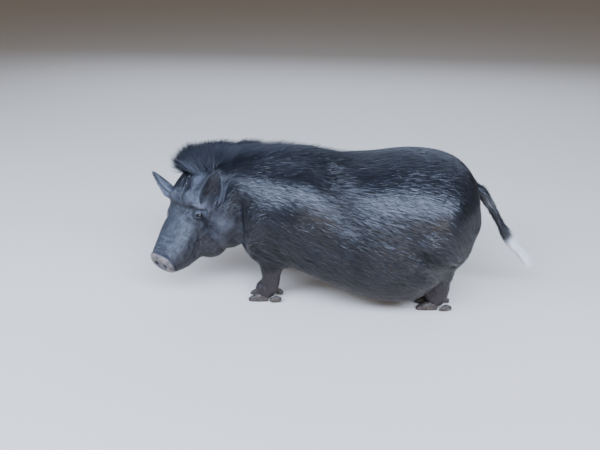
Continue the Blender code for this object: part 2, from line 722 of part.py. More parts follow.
def lock(bm, root, way, up, length, width, thick, droop, roll=0.0):
    """A flat tapered lock of bristles, as a closed mesh. The roll turns its flat face about its length."""
    side = Matrix.Rotation(roll, 3, way) @ way.cross(up).normalized()
    face = side.cross(way).normalized()
    rings = []
    for share, wide in ((0.0, 0.75), (0.3, 1.0), (0.68, 0.72)):
        spot = root + way * length * share - up * droop * length * share * share

        def place(c, s, spot=spot, wide=wide):
            return spot + side * c * width / 2 * wide + face * s * thick / 2 * wide

        rings.append(ring(bm, 4, place))
    for first, second in zip(rings, rings[1:]):
        bmesh.ops.bridge_loops(bm, edges=first + second)
    bmesh.ops.contextual_create(bm, geom=rings[0])
    tip = bm.verts.new(root + way * length - up * droop * length)
    for edge in rings[-1]:
        bm.faces.new((*edge.verts, tip))


def fuse_locks(target, locks):
    """Joins closed locks to the target in one union and keeps its largest closed surface."""
    collection = bpy.data.collections.new("locks")
    bpy.context.scene.collection.children.link(collection)
    for i, settings in enumerate(locks):
        bm = bmesh.new()
        lock(bm, *settings)
        made = object_of(bm, f"lock {i}")
        bpy.context.scene.collection.objects.unlink(made)
        collection.objects.link(made)
    modifier = target.modifiers.new("Locks", "BOOLEAN")
    modifier.operation = "UNION"
    modifier.solver = "MANIFOLD"
    modifier.operand_type = "COLLECTION"
    modifier.collection = collection
    settle(target)
    for made in list(collection.objects):
        bpy.data.objects.remove(made)
    bpy.data.collections.remove(collection)
    return largest(target)


def tree_of(target):
    graph = bpy.context.evaluated_depsgraph_get()
    return BVHTree.FromObject(target, graph)


def part_way(ends, share):
    """A number between the two ends."""
    return ends[0] + (ends[1] - ends[0]) * share


def crest_locks(target, first, last, count, lengths, lifts, rolls, half_wide):
    """Locks along the top of the back, from x first to x last, leaning backward over one another."""
    tree = tree_of(target)
    found = []
    for i in range(count):
        share = (i + random.uniform(0.2, 0.8)) / count
        x = first + (last - first) * share
        share **= CREST_FALL
        y = CREST_ACROSS[i % len(CREST_ACROSS)] * half_wide + random.uniform(-0.003, 0.003)
        hit, normal, _, _ = tree.ray_cast(Vector((x, y, 1.0)), Vector((0, 0, -1)))
        if hit is None or hit.dot(HEAD_SIDE) > HEAD_CUT - CREST_CLEAR:
            continue
        lie = Vector((1, y * 2.2 + random.uniform(-0.14, 0.14), 0))
        lie = (lie - normal * lie.dot(normal)).normalized()
        lift = math.radians(part_way(lifts, share) + random.uniform(-CREST_SPREAD, CREST_SPREAD))
        way = lie * math.cos(lift) + normal * math.sin(lift)
        up = normal * math.cos(lift) - lie * math.sin(lift)
        long = part_way(lengths, share) * random.uniform(0.8, 1.15) + LOCK_ROOT
        wide = random.uniform(*CREST_LOCK_WIDE)
        roll = math.radians(part_way(rolls, share) + random.uniform(-CREST_ROLL, CREST_ROLL))
        found.append((hit - way * LOCK_ROOT, way, up, long, wide, CREST_LOCK_THICK, LOCK_DROOP, roll))
    return found


# Locks of the tail: their rise in degrees and sizes, then where the first and last sit as shares of the tail,
# how many there are and how long they are
TAIL_LIFT, TAIL_LOCK_WIDE, TAIL_LOCK_THICK = (13, 21), (0.013, 0.018), 0.0036
TAIL_HAIR = (0.26, 0.93, 25, 0.066)


def tail_locks(first, last, count, length):
    """Hair round the tail, lying towards its tip."""
    rows = through(TAIL, 60)
    found = []
    for i in range(count):
        share = first + (last - first) * (i + random.uniform(0.1, 0.9)) / count
        at = min(int(share * 58), 58)
        x, y, z, half, _ = rows[at]
        way = Vector(rows[at + 1][:3] - rows[at][:3]).normalized()
        around = i * GOLDEN_TURN + random.uniform(-0.4, 0.4)
        side = (ACROSS - way * ACROSS.dot(way)).normalized()
        out = side * math.cos(around) + way.cross(side) * math.sin(around)
        lift = math.radians(random.uniform(*TAIL_LIFT))
        lie = way * math.cos(lift) + out * math.sin(lift)
        up = out * math.cos(lift) - way * math.sin(lift)
        root = Vector((x, y, z)) + out * half * 0.35
        wide = random.uniform(*TAIL_LOCK_WIDE)
        long = length * random.uniform(0.85, 1.1)
        found.append((root, lie, up, long, wide, TAIL_LOCK_THICK, LOCK_DROOP))
    return found


# Finishes: linear red, green and blue, and roughness
HIDE, HORN = ((0.018, 0.019, 0.022), 0.55), ((0.035, 0.030, 0.027), 0.45)
WET_EYE, DISC_SKIN = ((0.008, 0.006, 0.005), 0.08), ((0.090, 0.065, 0.062), 0.5)


def finish(name, colour, roughness):
    """A material of one colour, given as linear red, green and blue."""
    made = bpy.data.materials.new(name)
    made.use_nodes = True
    shader = made.node_tree.nodes["Principled BSDF"]
    shader.inputs["Base Color"].default_value = (*colour, 1.0)
    shader.inputs["Roughness"].default_value = roughness
    shader.inputs["Metallic"].default_value = 0.0
    return made


def centre_over_origin(nodes):
    """Moves every node so that the whole pig's box stands centred on the origin, feet on the floor."""
    spots = np.array([vert.co[:] for node in nodes for vert in node.data.vertices])
    middle = (spots.min(axis=0) + spots.max(axis=0)) / 2
    shift = Matrix.Translation((-middle[0], -middle[1], 0))
    for node in nodes:
        node.data.transform(shift)


def main():
    for thing in list(bpy.data.objects):
        bpy.data.objects.remove(thing)
    torso = flesh()
    torso.name = "torso"
    front = halved(torso, (NECK_CUT, 0, 0), (-1, 0, 0), "neck")
    nodes = {"torso": torso, "neck": front}
    nodes["head"] = halved(front, HEAD_SIDE * HEAD_CUT, HEAD_SIDE, "head")
    disc = on_head(DISC_AHEAD, 0, -0.03) - DISC_FACE * DISC_DEPTH
    nodes["snout"] = halved(nodes["head"], disc, DISC_FACE, "snout")
    nodes.update(legs_from(torso))
    for name, horn in claws().items():
        foot = "leg_" + "_".join(name.split("_")[1:3])
        cut_away(nodes[foot], grown(horn))
        nodes[name] = horn
    for name in ("torso", "neck", "head", "snout", *[n for n in nodes if n.startswith("leg")]):
        largest(nodes[name])
    tree = tree_of(nodes["head"])
    cut_away(nodes["head"], mouth_blade(tree))
    for hand, side in ((1, "left"), (-1, "right")):
        nodes[f"eye_{side}"] = eye_in(nodes["head"], tree, hand, f"eye_{side}")
        cut_away(nodes["snout"], nostril(tree_of(nodes["snout"]), hand))
    nodes["ear_left"] = ear("ear_left", tree, 1, *LEFT_EAR)
    nodes["ear_right"] = ear("ear_right", tree, -1, *RIGHT_EAR)
    for side in ("left", "right"):
        cut_away(nodes[f"ear_{side}"], grown(nodes["head"]))
        largest(nodes[f"ear_{side}"])
    nodes["tail"] = sweep("tail", TAIL, 13, 8)
    cut_away(nodes["tail"], grown(torso))
    largest(nodes["tail"])
    fuse_locks(nodes["tail"], tail_locks(*TAIL_HAIR))
    fuse_locks(torso, crest_locks(torso, *BACK_CREST))
    fuse_locks(nodes["neck"], crest_locks(nodes["neck"], *NECK_CREST))
    hide = finish("black bristly hide", *HIDE)
    horn = finish("dark horn", *HORN)
    eyeball = finish("dark wet eye", *WET_EYE)
    disc_skin = finish("greyish pink snout skin", *DISC_SKIN)
    for name, node in nodes.items():
        node.name = name
        node.data.materials.clear()
        if "claw" in name:
            node.data.materials.append(horn)
        elif name.startswith("eye"):
            node.data.materials.append(eyeball)
        elif name == "snout":
            node.data.materials.append(disc_skin)
        else:
            node.data.materials.append(hide)
        node.data.shade_smooth()
    centre_over_origin(nodes.values())


main()
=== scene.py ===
# %% [markdown]
# # A Vietnamese pot-bellied pig, dressed for a museum
#
# The solids of the pig come first, as a fixed frame: they say where every part stands. This script gives
# the pig what an eye looks for: one unbroken skin with folds, lids and lips, wet eyes, horn on the toes,
# and a coat of bristles that lies along the body. All sizes are metres, because Blender's unit is the
# metre.

# %% The frame, and the tools that the later cells use
import math

import bmesh
import bpy
import numpy as np
from mathutils import Matrix, Vector
from mathutils.bvhtree import BVHTree
from mathutils.kdtree import KDTree


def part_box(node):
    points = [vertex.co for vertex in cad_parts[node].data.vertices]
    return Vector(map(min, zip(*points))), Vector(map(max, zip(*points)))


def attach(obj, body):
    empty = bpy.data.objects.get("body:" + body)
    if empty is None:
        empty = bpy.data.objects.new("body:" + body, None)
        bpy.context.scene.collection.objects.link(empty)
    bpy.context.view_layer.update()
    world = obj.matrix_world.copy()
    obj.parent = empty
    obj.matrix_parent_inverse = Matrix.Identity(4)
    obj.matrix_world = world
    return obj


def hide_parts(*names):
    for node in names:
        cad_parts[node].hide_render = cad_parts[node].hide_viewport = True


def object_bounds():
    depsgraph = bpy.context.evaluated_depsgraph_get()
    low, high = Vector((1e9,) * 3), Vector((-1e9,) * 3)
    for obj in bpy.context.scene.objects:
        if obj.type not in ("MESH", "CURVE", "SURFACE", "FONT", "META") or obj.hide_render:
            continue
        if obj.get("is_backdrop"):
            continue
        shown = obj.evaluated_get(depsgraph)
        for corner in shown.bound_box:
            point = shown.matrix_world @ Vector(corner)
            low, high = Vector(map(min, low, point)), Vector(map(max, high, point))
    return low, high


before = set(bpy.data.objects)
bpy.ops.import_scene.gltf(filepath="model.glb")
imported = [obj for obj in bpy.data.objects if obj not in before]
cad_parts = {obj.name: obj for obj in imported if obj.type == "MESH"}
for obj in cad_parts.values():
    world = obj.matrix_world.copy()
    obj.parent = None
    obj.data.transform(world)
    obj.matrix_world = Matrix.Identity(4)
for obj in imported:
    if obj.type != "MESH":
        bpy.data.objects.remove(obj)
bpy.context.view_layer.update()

# %% [markdown]
# ## Where the pig stands
#
# The body was designed with its trunk centred on x = 0 and then moved so that the whole animal, tail
# included, stands centred. The front of the near fore claw is a hard edge in both, so the difference
# between its place here and in the design tells how far the pig was moved. Everything below is modelled in
# the design's own numbers and moved by the same step at the end.

# %% The step from the design to the frame
CLAW_FRONT = -0.3384
STEP = Vector((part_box("claw_fore_left_outer")[0].x - CLAW_FRONT, 0, 0))
ACROSS = Vector((0, 1, 0))
UP = Vector((0, 0, 1))
print("moved along x by", round(STEP.x, 4))

# %% [markdown]
# ## The head's own directions
#
# A head that is turned and lowered is hard to model in the body's axes. It is easier to give it three of
# its own: along the snout, to the pig's left, and up out of the forehead. Every spot of the face is then a
# distance along each of them from the poll, the highest point between the ears.

# %% The head's directions and how to place a point on it
HEAD_YAW, HEAD_PITCH = math.radians(62.0), math.radians(52.5)
POLL = Vector((-0.5205, -0.030, 0.381))
FLAT = math.cos(HEAD_PITCH)
FORWARD = Vector((-FLAT * math.cos(HEAD_YAW), -FLAT * math.sin(HEAD_YAW), -math.sin(HEAD_PITCH)))
LEFT = Vector((math.sin(HEAD_YAW), -math.cos(HEAD_YAW), 0))
BROW = FORWARD.cross(LEFT)
SKULL = Matrix((FORWARD, LEFT, BROW)).transposed()


def on_head(ahead, left, above):
    """A point of the head, measured from the poll."""
    return POLL + SKULL @ Vector((ahead, left, above))


print("the snout points to", [round(v, 2) for v in FORWARD])

# %% [markdown]
# ## Clay: lofts through cross-sections
#
# The trunk, the head, each leg and the tail are all long forms, so each is a row of rounded sections with a
# skin bridged over them. Only a few sections are given as numbers, and a smooth curve through them supplies
# the rest. A box with subdivisions would do too, but sections can be read off a side view and a front view.

# %% A smooth row of sizes, and a loft over rings
def through(rows, count):
    """Rows of sizes at even steps along a smooth curve through the rows given."""
    keys = np.array(rows, float)
    ends = np.vstack([2 * keys[0] - keys[1], keys, 2 * keys[-1] - keys[-2]])
    found = []
    for step in np.linspace(0, len(keys) - 1, count):
        i = min(int(step), len(keys) - 2)
        t = step - i
        a, b, c, d = ends[i : i + 4]
        bend = (2 * a - 5 * b + 4 * c - d) * t**2 + (3 * b - a - 3 * c + d) * t**3
        found.append(0.5 * (2 * b + (c - a) * t + bend))
    return np.array(found)


def object_of(bm, name):
    """The finished mesh as an object of the scene, its faces turned outwards."""
    bm.normal_update()
    bmesh.ops.recalc_face_normals(bm, faces=bm.faces)
    mesh = bpy.data.meshes.new(name)
    bm.to_mesh(mesh)
    bm.free()
    made = bpy.data.objects.new(name, mesh)
    bpy.context.scene.collection.objects.link(made)
    return made


def ring(bm, sides, place):
    """A circle whose corners are moved to place(cosine, sine). Returns its edges."""
    made = bmesh.ops.create_circle(bm, segments=sides, radius=1.0)["verts"]
    for vert in made:
        vert.co = place(vert.co.x, vert.co.y)
    return list({edge for vert in made for edge in vert.link_edges})


def skin_over(bm, rings):
    """Faces from each ring to the next, and a cap on both ends."""
    for first, second in zip(rings, rings[1:]):
        bmesh.ops.bridge_loops(bm, edges=first + second)
    for end in (rings[0], rings[-1]):
        bmesh.ops.contextual_create(bm, geom=end)


def oval(spot, right, up, across, rise, drop, square=2.2, pear=0.0):
    """A rounded section. Square over 2 fills its corners, and pear moves its width downward."""

    def place(c, s):
        wide = math.copysign(abs(c) ** (2 / square), c) * across
        high = math.copysign(abs(s) ** (2 / square), s)
        reach = high * (rise if s > 0 else drop)
        return spot + right * wide * (1 - pear * high) + up * reach

    return place


def loft(name, ovals, sides):
    """A closed form bridged over a row of sections."""
    bm = bmesh.new()
    skin_over(bm, [ring(bm, sides, place) for place in ovals])
    return object_of(bm, name)


def sweep(name, rows, count, sides=20):
    """A limb along rows of x, y, z, half width and half depth."""
    rows = through(rows, count)
    ovals = []
    for i, (x, y, z, half, deep) in enumerate(rows):
        ahead, behind = rows[min(i + 1, count - 1)], rows[max(i - 1, 0)]
        way = Vector(ahead[:3] - behind[:3]).normalized()
        side = (ACROSS - way * ACROSS.dot(way)).normalized()
        ovals.append(oval(Vector((x, y, z)), side, way.cross(side), half, deep, deep))
    return loft(name, ovals, sides)


def ball(name, centre, radii, turn=Matrix.Identity(3), rings=18):
    """An ellipsoid, its radii along the axes of the turn."""
    bm = bmesh.new()
    bmesh.ops.create_uvsphere(bm, u_segments=rings * 2, v_segments=rings, radius=1.0)
    for vert in bm.verts:
        vert.co = Vector(centre) + turn @ Vector([a * b for a, b in zip(vert.co, radii)])
    return object_of(bm, name)


# %% [markdown]
# ## The flesh: sections, masses and one lump of clay
#
# A pot-bellied pig is a swayed back over a belly that hangs almost to the floor, with a heavy jowled head,
# a dished face and short legs. The tables below are the same forms that the solids were built from. The
# head's rows are measured along the face line from the poll, and the legs are the left ones: the right ones
# are mirrored and stepped along, because the feet don't stand level with each other.

# %% The sizes of the trunk, head, legs and masses
# Where the solids of the trunk, the neck and the head are cut apart. The coat is parted at the same places.
NECK_CUT = -0.335
HEAD_CUT, HEAD_CUT_YAW, HEAD_CUT_DROP = 0.252, math.radians(47.0), math.radians(15.0)
LEVEL = math.cos(HEAD_CUT_DROP)
HEAD_SIDE = Vector(
    (-math.cos(HEAD_CUT_YAW) * LEVEL, -math.sin(HEAD_CUT_YAW) * LEVEL, -math.sin(HEAD_CUT_DROP))
)

# How far each right foot stands behind (+) or ahead of (-) the left one
FORE_STEP, HIND_STEP = 0.055, -0.060

# The disc at the end of the snout faces between the snout's way and the brow's
DISC_LEAN, DISC_AHEAD = math.radians(35.0), 0.272
DISC_FACE = FORWARD * math.cos(DISC_LEAN) + BROW * math.sin(DISC_LEAN)

# Cross-sections of the trunk: x, back height, height of the widest line, belly height, half width, pear
TRUNK = (
    (-0.400, 0.425, 0.330, 0.235, 0.100, 0.00),
    (-0.370, 0.440, 0.325, 0.195, 0.135, 0.00),
    (-0.320, 0.450, 0.310, 0.155, 0.162, 0.01),
    (-0.250, 0.456, 0.285, 0.118, 0.186, 0.02),
    (-0.160, 0.454, 0.262, 0.078, 0.206, 0.04),
    (-0.070, 0.443, 0.243, 0.045, 0.220, 0.06),
    (0.020, 0.446, 0.230, 0.018, 0.230, 0.07),
    (0.100, 0.460, 0.225, 0.007, 0.232, 0.07),
    (0.170, 0.462, 0.238, 0.010, 0.224, 0.05),
    (0.225, 0.454, 0.255, 0.045, 0.204, 0.02),
    (0.270, 0.437, 0.275, 0.120, 0.174, 0.00),
    (0.303, 0.410, 0.290, 0.185, 0.138, 0.00),
    (0.325, 0.377, 0.296, 0.228, 0.096, 0.00),
    (0.338, 0.330, 0.296, 0.264, 0.048, 0.00),
)

# Cross-sections of the head: distance ahead of the poll, forehead, jaw, half width, lean and pear
HEAD = (
    (-0.040, -0.060, -0.130, 0.060, 0, 0.00),
    (-0.020, -0.026, -0.170, 0.087, 0, 0.04),
    (0.010, -0.012, -0.196, 0.100, 0, 0.10),
    (0.050, -0.001, -0.208, 0.111, 0, 0.16),
    (0.090, -0.002, -0.204, 0.110, 0, 0.20),
    (0.125, -0.012, -0.190, 0.098, 2, 0.20),
    (0.155, -0.014, -0.176, 0.085, 4, 0.16),
    (0.185, -0.011, -0.158, 0.074, 7, 0.10),
    (0.215, -0.007, -0.136, 0.065, 10, 0.05),
    (0.242, -0.003, -0.110, 0.057, 17, 0.00),
    (0.262, 0.000, -0.080, 0.049, 25, 0.00),
    (0.274, -0.001, -0.055, 0.040, 35, 0.00),
)

# Legs, from inside the body down to the foot: x, y, z, half width, half depth. They are the left ones.
FORELEG = (
    (-0.265, -0.100, 0.270, 0.060, 0.080),
    (-0.258, -0.110, 0.205, 0.052, 0.066),
    (-0.258, -0.116, 0.155, 0.041, 0.046),
    (-0.266, -0.118, 0.112, 0.034, 0.037),
    (-0.268, -0.118, 0.078, 0.0275, 0.029),
    (-0.273, -0.118, 0.052, 0.029, 0.031),
    (-0.287, -0.118, 0.034, 0.028, 0.034),
    (-0.297, -0.118, 0.019, 0.023, 0.028),
)
HINDLEG = (
    (0.220, -0.105, 0.270, 0.080, 0.095),
    (0.230, -0.112, 0.195, 0.058, 0.066),
    (0.243, -0.113, 0.150, 0.037, 0.041),
    (0.249, -0.111, 0.115, 0.029, 0.032),
    (0.249, -0.109, 0.080, 0.0255, 0.028),
    (0.246, -0.108, 0.052, 0.0275, 0.030),
    (0.236, -0.108, 0.034, 0.0265, 0.033),
    (0.227, -0.108, 0.019, 0.022, 0.027),
)
TAIL = (
    (0.295, 0.000, 0.368, 0.022, 0.022),
    (0.338, 0.000, 0.352, 0.0185, 0.0185),
    (0.370, -0.002, 0.316, 0.0155, 0.0155),
    (0.401, -0.004, 0.271, 0.0130, 0.0130),
    (0.429, -0.005, 0.229, 0.0105, 0.0105),
    (0.459, -0.006, 0.190, 0.0080, 0.0080),
    (0.484, -0.006, 0.162, 0.0055, 0.0055),
    (0.503, -0.006, 0.140, 0.0025, 0.0025),
)

# How square the sections are: the cheeks are rounded and the snout has a flat top, with a blend between
CHEEK_SQUARE, SNOUT_SQUARE, SNOUT_FROM, SNOUT_BLEND = 2.3, 2.8, 0.13, 0.06

# Soft masses, for both sides: centre and radii. The first three are of the body, the others of the head.
MASSES = {
    "shoulder": ((-0.255, 0.095, 0.262), (0.125, 0.095, 0.150)),
    "ham": ((0.195, 0.100, 0.248), (0.120, 0.102, 0.150)),
    "ham_low": ((0.212, 0.122, 0.190), (0.078, 0.072, 0.058)),
}
HEAD_MASSES = {
    "jowl": ((0.165, 0.056, -0.140), (0.062, 0.052, 0.062)),
    "cheek": ((0.105, 0.062, -0.110), (0.075, 0.052, 0.070)),
}
NECK_BALLS = (
    ((-0.340, 0.000, 0.300), (0.140, 0.152, 0.142)),
    ((-0.405, 0.000, 0.300), (0.125, 0.138, 0.128)),
    ((-0.455, 0.005, 0.292), (0.100, 0.120, 0.110)),
    ((-0.410, -0.050, 0.255), (0.085, 0.078, 0.112)),
)


def mirrored(rows, step=0.0):
    """The same rows on the pig's right side, moved along by the step."""
    return [(x + step, -y, *rest) for x, y, *rest in rows]


def trunk():
    """The barrel of the body, with its hanging belly."""
    return loft(
        "trunk",
        [
            oval(Vector((x, 0, wide)), ACROSS, UP, half, back - wide, wide - belly, 2.25, pear)
            for x, back, wide, belly, half, pear in through(TRUNK, 44)
        ],
        48,
    )


def head_clay():
    """The head from the poll to the disc. Its sections lean more and more towards the disc's own slope."""
    ovals = []
    for ahead, top, bottom, half, tilt, pear in through(HEAD, 40):
        lean = math.radians(tilt)
        up = BROW * math.cos(lean) - FORWARD * math.sin(lean)
        deep = (top - bottom) / 2
        boxy = min(max((ahead - SNOUT_FROM) / SNOUT_BLEND, 0), 1)
        square = CHEEK_SQUARE + (SNOUT_SQUARE - CHEEK_SQUARE) * boxy
        ovals.append(oval(on_head(ahead, 0, top) - up * deep, LEFT, up, half, deep, deep, square, pear))
    return loft("head clay", ovals, 40)


def clay_parts():
    """Every lump that the skin is laid over."""
    parts = [trunk(), head_clay()]
    parts.append(sweep("foreleg", FORELEG, 28))
    parts.append(sweep("foreleg", mirrored(FORELEG, FORE_STEP), 28))
    parts.append(sweep("hindleg", HINDLEG, 28))
    parts.append(sweep("hindleg", mirrored(HINDLEG, HIND_STEP), 28))
    parts += [ball("neck", centre, radii) for centre, radii in NECK_BALLS]
    for hand in (-1, 1):
        for (x, y, z), radii in MASSES.values():
            parts.append(ball("mass", (x, hand * y, z), radii))
        for (ahead, left, above), radii in HEAD_MASSES.values():
            parts.append(ball("mass", on_head(ahead, hand * left, above), radii, SKULL))
    return parts


# %% [markdown]
# ## From lumps to one surface
#
# Overlapping lofts have hidden walls inside one another. A voxel remesh keeps only the outside, as one
# closed surface of even squares, and a smoothing pass rounds the grooves where two lumps met. It works
# harder where real skin hangs soft: behind the jaw, on the jowls, the hams and the shoulders.

# %% Joining, remeshing and smoothing
CLAY = 0.0055


def join(parts, name):
    """One object out of many, which are removed."""
    bm = bmesh.new()
    for part in parts:
        bm.from_mesh(part.data)
        bpy.data.objects.remove(part)
    return object_of(bm, name)


def settle(target):
    """Applies what the modifiers do to the object's own mesh."""
    graph = bpy.context.evaluated_depsgraph_get()
    made = bpy.data.meshes.new_from_object(target.evaluated_get(graph))
    target.modifiers.clear()
    target.data = made
    return target


def modified(target, kind, **settings):
    """Puts one modifier on the object and applies it."""
    modifier = target.modifiers.new(kind.title(), kind)
    for key, value in settings.items():
        setattr(modifier, key, value)
    return settle(target)


def weighted(target, name, weight):
    """A vertex group whose weights come from each point's place."""
    group = target.vertex_groups.new(name=name)
    for vert in target.data.vertices:
        amount = weight(vert.co)
        if amount > 0.01:
            group.add([vert.index], min(amount, 1.0), "REPLACE")


def near(spot, centre, reach):
    """One at the centre, fading smoothly to nothing at the reach."""
    away = (Vector(spot) - Vector(centre)).length / reach
    return max(0.0, 1 - away * away) ** 2


def soft_places(spot):
    """One where skin hangs soft and two lumps should meet without a groove."""
    neck = max(near(spot, (-0.42, -0.03, 0.30), 0.22), near(spot, on_head(0.02, 0.08, -0.12), 0.12))
    jowl = max(near(spot, on_head(0.15, hand * 0.07, -0.12), 0.11) for hand in (-1, 1))
    ham = max(near(spot, (0.25, hand * 0.15, 0.22), 0.20) for hand in (-1, 1))
    shoulder = max(near(spot, (-0.25, hand * 0.15, 0.27), 0.20) for hand in (-1, 1))
    return max(neck, jowl * 0.6, ham, shoulder)


skin = join(clay_parts(), "skin")
modified(skin, "REMESH", mode="VOXEL", voxel_size=CLAY)
modified(skin, "SMOOTH", factor=0.5, iterations=10)
weighted(skin, "soft", soft_places)
modified(skin, "SMOOTH", factor=0.5, iterations=70, vertex_group="soft")
print("clay", len(skin.data.polygons), "faces")

# %% [markdown]
# ## Pressing in folds with strokes
#
# A sculptor draws a thumb along a line and the clay gives way. The same can be done in code: each stroke is
# a short line in space, and every point of the skin moves along its own normal by an amount that fades with
# its distance from the line. The brows, the folds under the eye and along the cheek, the wrinkles over the
# nose and the creases of shoulder and flank are all such strokes. A sculpt brush does the same by hand, but
# a table of strokes can be read, measured and changed one fold at a time.

# %% The strokes of the face and the body
# Strokes that press the clay in or draw it out, for both sides: the line, its half width and its height.
# Those of the head are given ahead of, to the side of and above the poll, those of the body as x, y, z.
# The first tables are the solids' own folds.
FACE_STROKES = (
    (((0.066, 0.016, 0.000), (0.080, 0.046, -0.004), (0.082, 0.080, -0.010)), 0.016, 0.0085),
    (
        ((0.110, 0.000, -0.006), (0.104, 0.040, -0.006), (0.101, 0.078, -0.012), (0.095, 0.100, -0.010)),
        0.0080,
        -0.0054,
    ),
    (((0.034, 0.004, -0.002), (0.054, 0.004, -0.001)), 0.015, -0.0040),
    (((0.109, 0.062, -0.036), (0.113, 0.078, -0.056)), 0.017, -0.0062),
    (((0.126, 0.046, -0.024), (0.134, 0.064, -0.050), (0.124, 0.084, -0.076)), 0.009, 0.0046),
    (((0.146, 0.040, -0.022), (0.152, 0.058, -0.052)), 0.009, -0.0028),
    (((0.144, 0.066, -0.052), (0.186, 0.074, -0.070), (0.228, 0.066, -0.078)), 0.012, -0.0040),
    (((0.140, 0.048, -0.022), (0.186, 0.058, -0.034), (0.238, 0.050, -0.040)), 0.009, 0.0026),
    (((0.088, 0.098, -0.052), (0.146, 0.084, -0.092), (0.196, 0.064, -0.124)), 0.013, -0.0070),
    (((0.066, 0.104, -0.082), (0.128, 0.092, -0.126), (0.178, 0.070, -0.158)), 0.015, 0.0090),
    (((0.040, 0.108, -0.126), (0.096, 0.090, -0.176)), 0.011, -0.0065),
    (((0.232, 0.000, -0.008), (0.229, 0.030, -0.014), (0.222, 0.046, -0.036)), 0.0040, -0.0026),
    (((0.245, 0.000, -0.006), (0.243, 0.028, -0.012), (0.237, 0.044, -0.034)), 0.0036, -0.0026),
    (((0.257, 0.000, -0.004), (0.255, 0.026, -0.010), (0.250, 0.042, -0.030)), 0.0034, -0.0022),
    (((0.172, 0.066, -0.094), (0.214, 0.056, -0.082), (0.250, 0.036, -0.066)), 0.0090, 0.0032),
    (((0.176, 0.062, -0.126), (0.216, 0.050, -0.106), (0.250, 0.028, -0.090)), 0.0080, 0.0026),
)
BODY_STROKES = (
    (((-0.094, 0.100, 0.425), (-0.072, 0.170, 0.365), (-0.090, 0.212, 0.250)), 0.044, -0.0115),
    (((-0.215, 0.170, 0.400), (-0.240, 0.196, 0.310)), 0.060, 0.0120),
    (((-0.300, 0.168, 0.205), (-0.262, 0.190, 0.178), (-0.220, 0.192, 0.172)), 0.022, -0.0120),
    (((-0.356, 0.139, 0.332), (-0.355, 0.144, 0.272), (-0.352, 0.128, 0.205)), 0.021, -0.0150),
    (((0.134, 0.212, 0.290), (0.148, 0.218, 0.250)), 0.024, -0.0080),
    (((0.112, 0.206, 0.281), (0.124, 0.213, 0.250), (0.132, 0.221, 0.216)), 0.013, 0.0050),
    (((0.215, 0.170, 0.350), (0.210, 0.196, 0.240)), 0.055, 0.0120),
    (((0.335, 0.085, 0.270), (0.315, 0.090, 0.200)), 0.050, 0.0130),
    (((-0.405, 0.134, 0.306), (-0.408, 0.128, 0.250), (-0.409, 0.114, 0.195)), 0.018, 0.0080),
    (((0.340, 0.000, 0.290), (0.335, 0.000, 0.240), (0.300, 0.000, 0.170)), 0.030, -0.0340),
    (
        ((0.160, 0.223, 0.246), (0.188, 0.224, 0.214), (0.222, 0.208, 0.192), (0.258, 0.178, 0.180)),
        0.015,
        -0.0110,
    ),
    (((0.185, 0.210, 0.182), (0.215, 0.190, 0.165), (0.255, 0.160, 0.155)), 0.030, -0.0090),
    (((0.176, 0.212, 0.268), (0.205, 0.212, 0.240), (0.245, 0.188, 0.222)), 0.026, 0.0070),
    (((-0.020, 0.226, 0.150), (0.060, 0.232, 0.140)), 0.050, 0.0060),
    (((-0.250, 0.000, 0.458), (-0.060, 0.000, 0.445)), 0.040, 0.0050),
)

# Fine folds that only the skin has: round the eyes, over the snout, on the neck and at the elbow and ham
FINE_FACE_STROKES = (
    (((0.100, 0.046, -0.006), (0.099, 0.074, -0.012), (0.094, 0.098, -0.010)), 0.0040, -0.0026),
    (((0.132, 0.050, -0.034), (0.130, 0.070, -0.058)), 0.0040, -0.0022),
    (((0.142, 0.046, -0.036), (0.140, 0.070, -0.066)), 0.0036, -0.0016),
    (((0.214, 0.000, -0.007), (0.212, 0.028, -0.014)), 0.0036, -0.0018),
    (((0.198, 0.000, -0.009), (0.197, 0.022, -0.014)), 0.0034, -0.0012),
    (((0.078, 0.100, -0.060), (0.138, 0.088, -0.104), (0.186, 0.066, -0.134)), 0.0060, -0.0026),
    (((0.020, 0.100, -0.100), (0.060, 0.104, -0.140)), 0.0080, -0.0034),
)
FINE_BODY_STROKES = (
    (((-0.318, 0.150, 0.190), (-0.300, 0.165, 0.165)), 0.009, -0.0040),
    (((-0.360, 0.138, 0.350), (-0.358, 0.145, 0.270), (-0.353, 0.130, 0.205)), 0.022, -0.0040),
    (((-0.358, 0.143, 0.305), (-0.357, 0.145, 0.255), (-0.353, 0.130, 0.200)), 0.017, -0.0060),
    (((-0.116, 0.080, 0.430), (-0.078, 0.150, 0.380), (-0.050, 0.198, 0.320)), 0.028, -0.0060),
    (
        ((0.158, 0.222, 0.250), (0.190, 0.222, 0.212), (0.222, 0.206, 0.192), (0.258, 0.176, 0.180)),
        0.010,
        -0.0090,
    ),
    (((0.185, 0.205, 0.190), (0.215, 0.195, 0.168), (0.250, 0.165, 0.155)), 0.024, -0.0070),
    (((0.300, 0.060, 0.180), (0.280, 0.100, 0.150)), 0.010, -0.0030),
)
print("strokes on the face", len(FACE_STROKES + FINE_FACE_STROKES))
print("strokes on the body", len(BODY_STROKES + FINE_BODY_STROKES))


def pressed(spots, strokes):
    """How far each spot is pushed out by the strokes, in metres. Their lines hold for either side."""
    spots = spots * (1, 0, 1) + np.abs(spots) * (0, 1, 0)
    out = np.zeros(len(spots))
    for path, width, height in strokes:
        away = np.full(len(spots), np.inf)
        for start, end in zip(np.array(path), np.array(path)[1:]):
            line = end - start
            share = np.clip((spots - start) @ line / (line @ line), 0, 1)[:, None]
            away = np.minimum(away, np.linalg.norm(spots - start - line * share, axis=1))
        out += height * np.exp(-((away / width) ** 2))
    return out

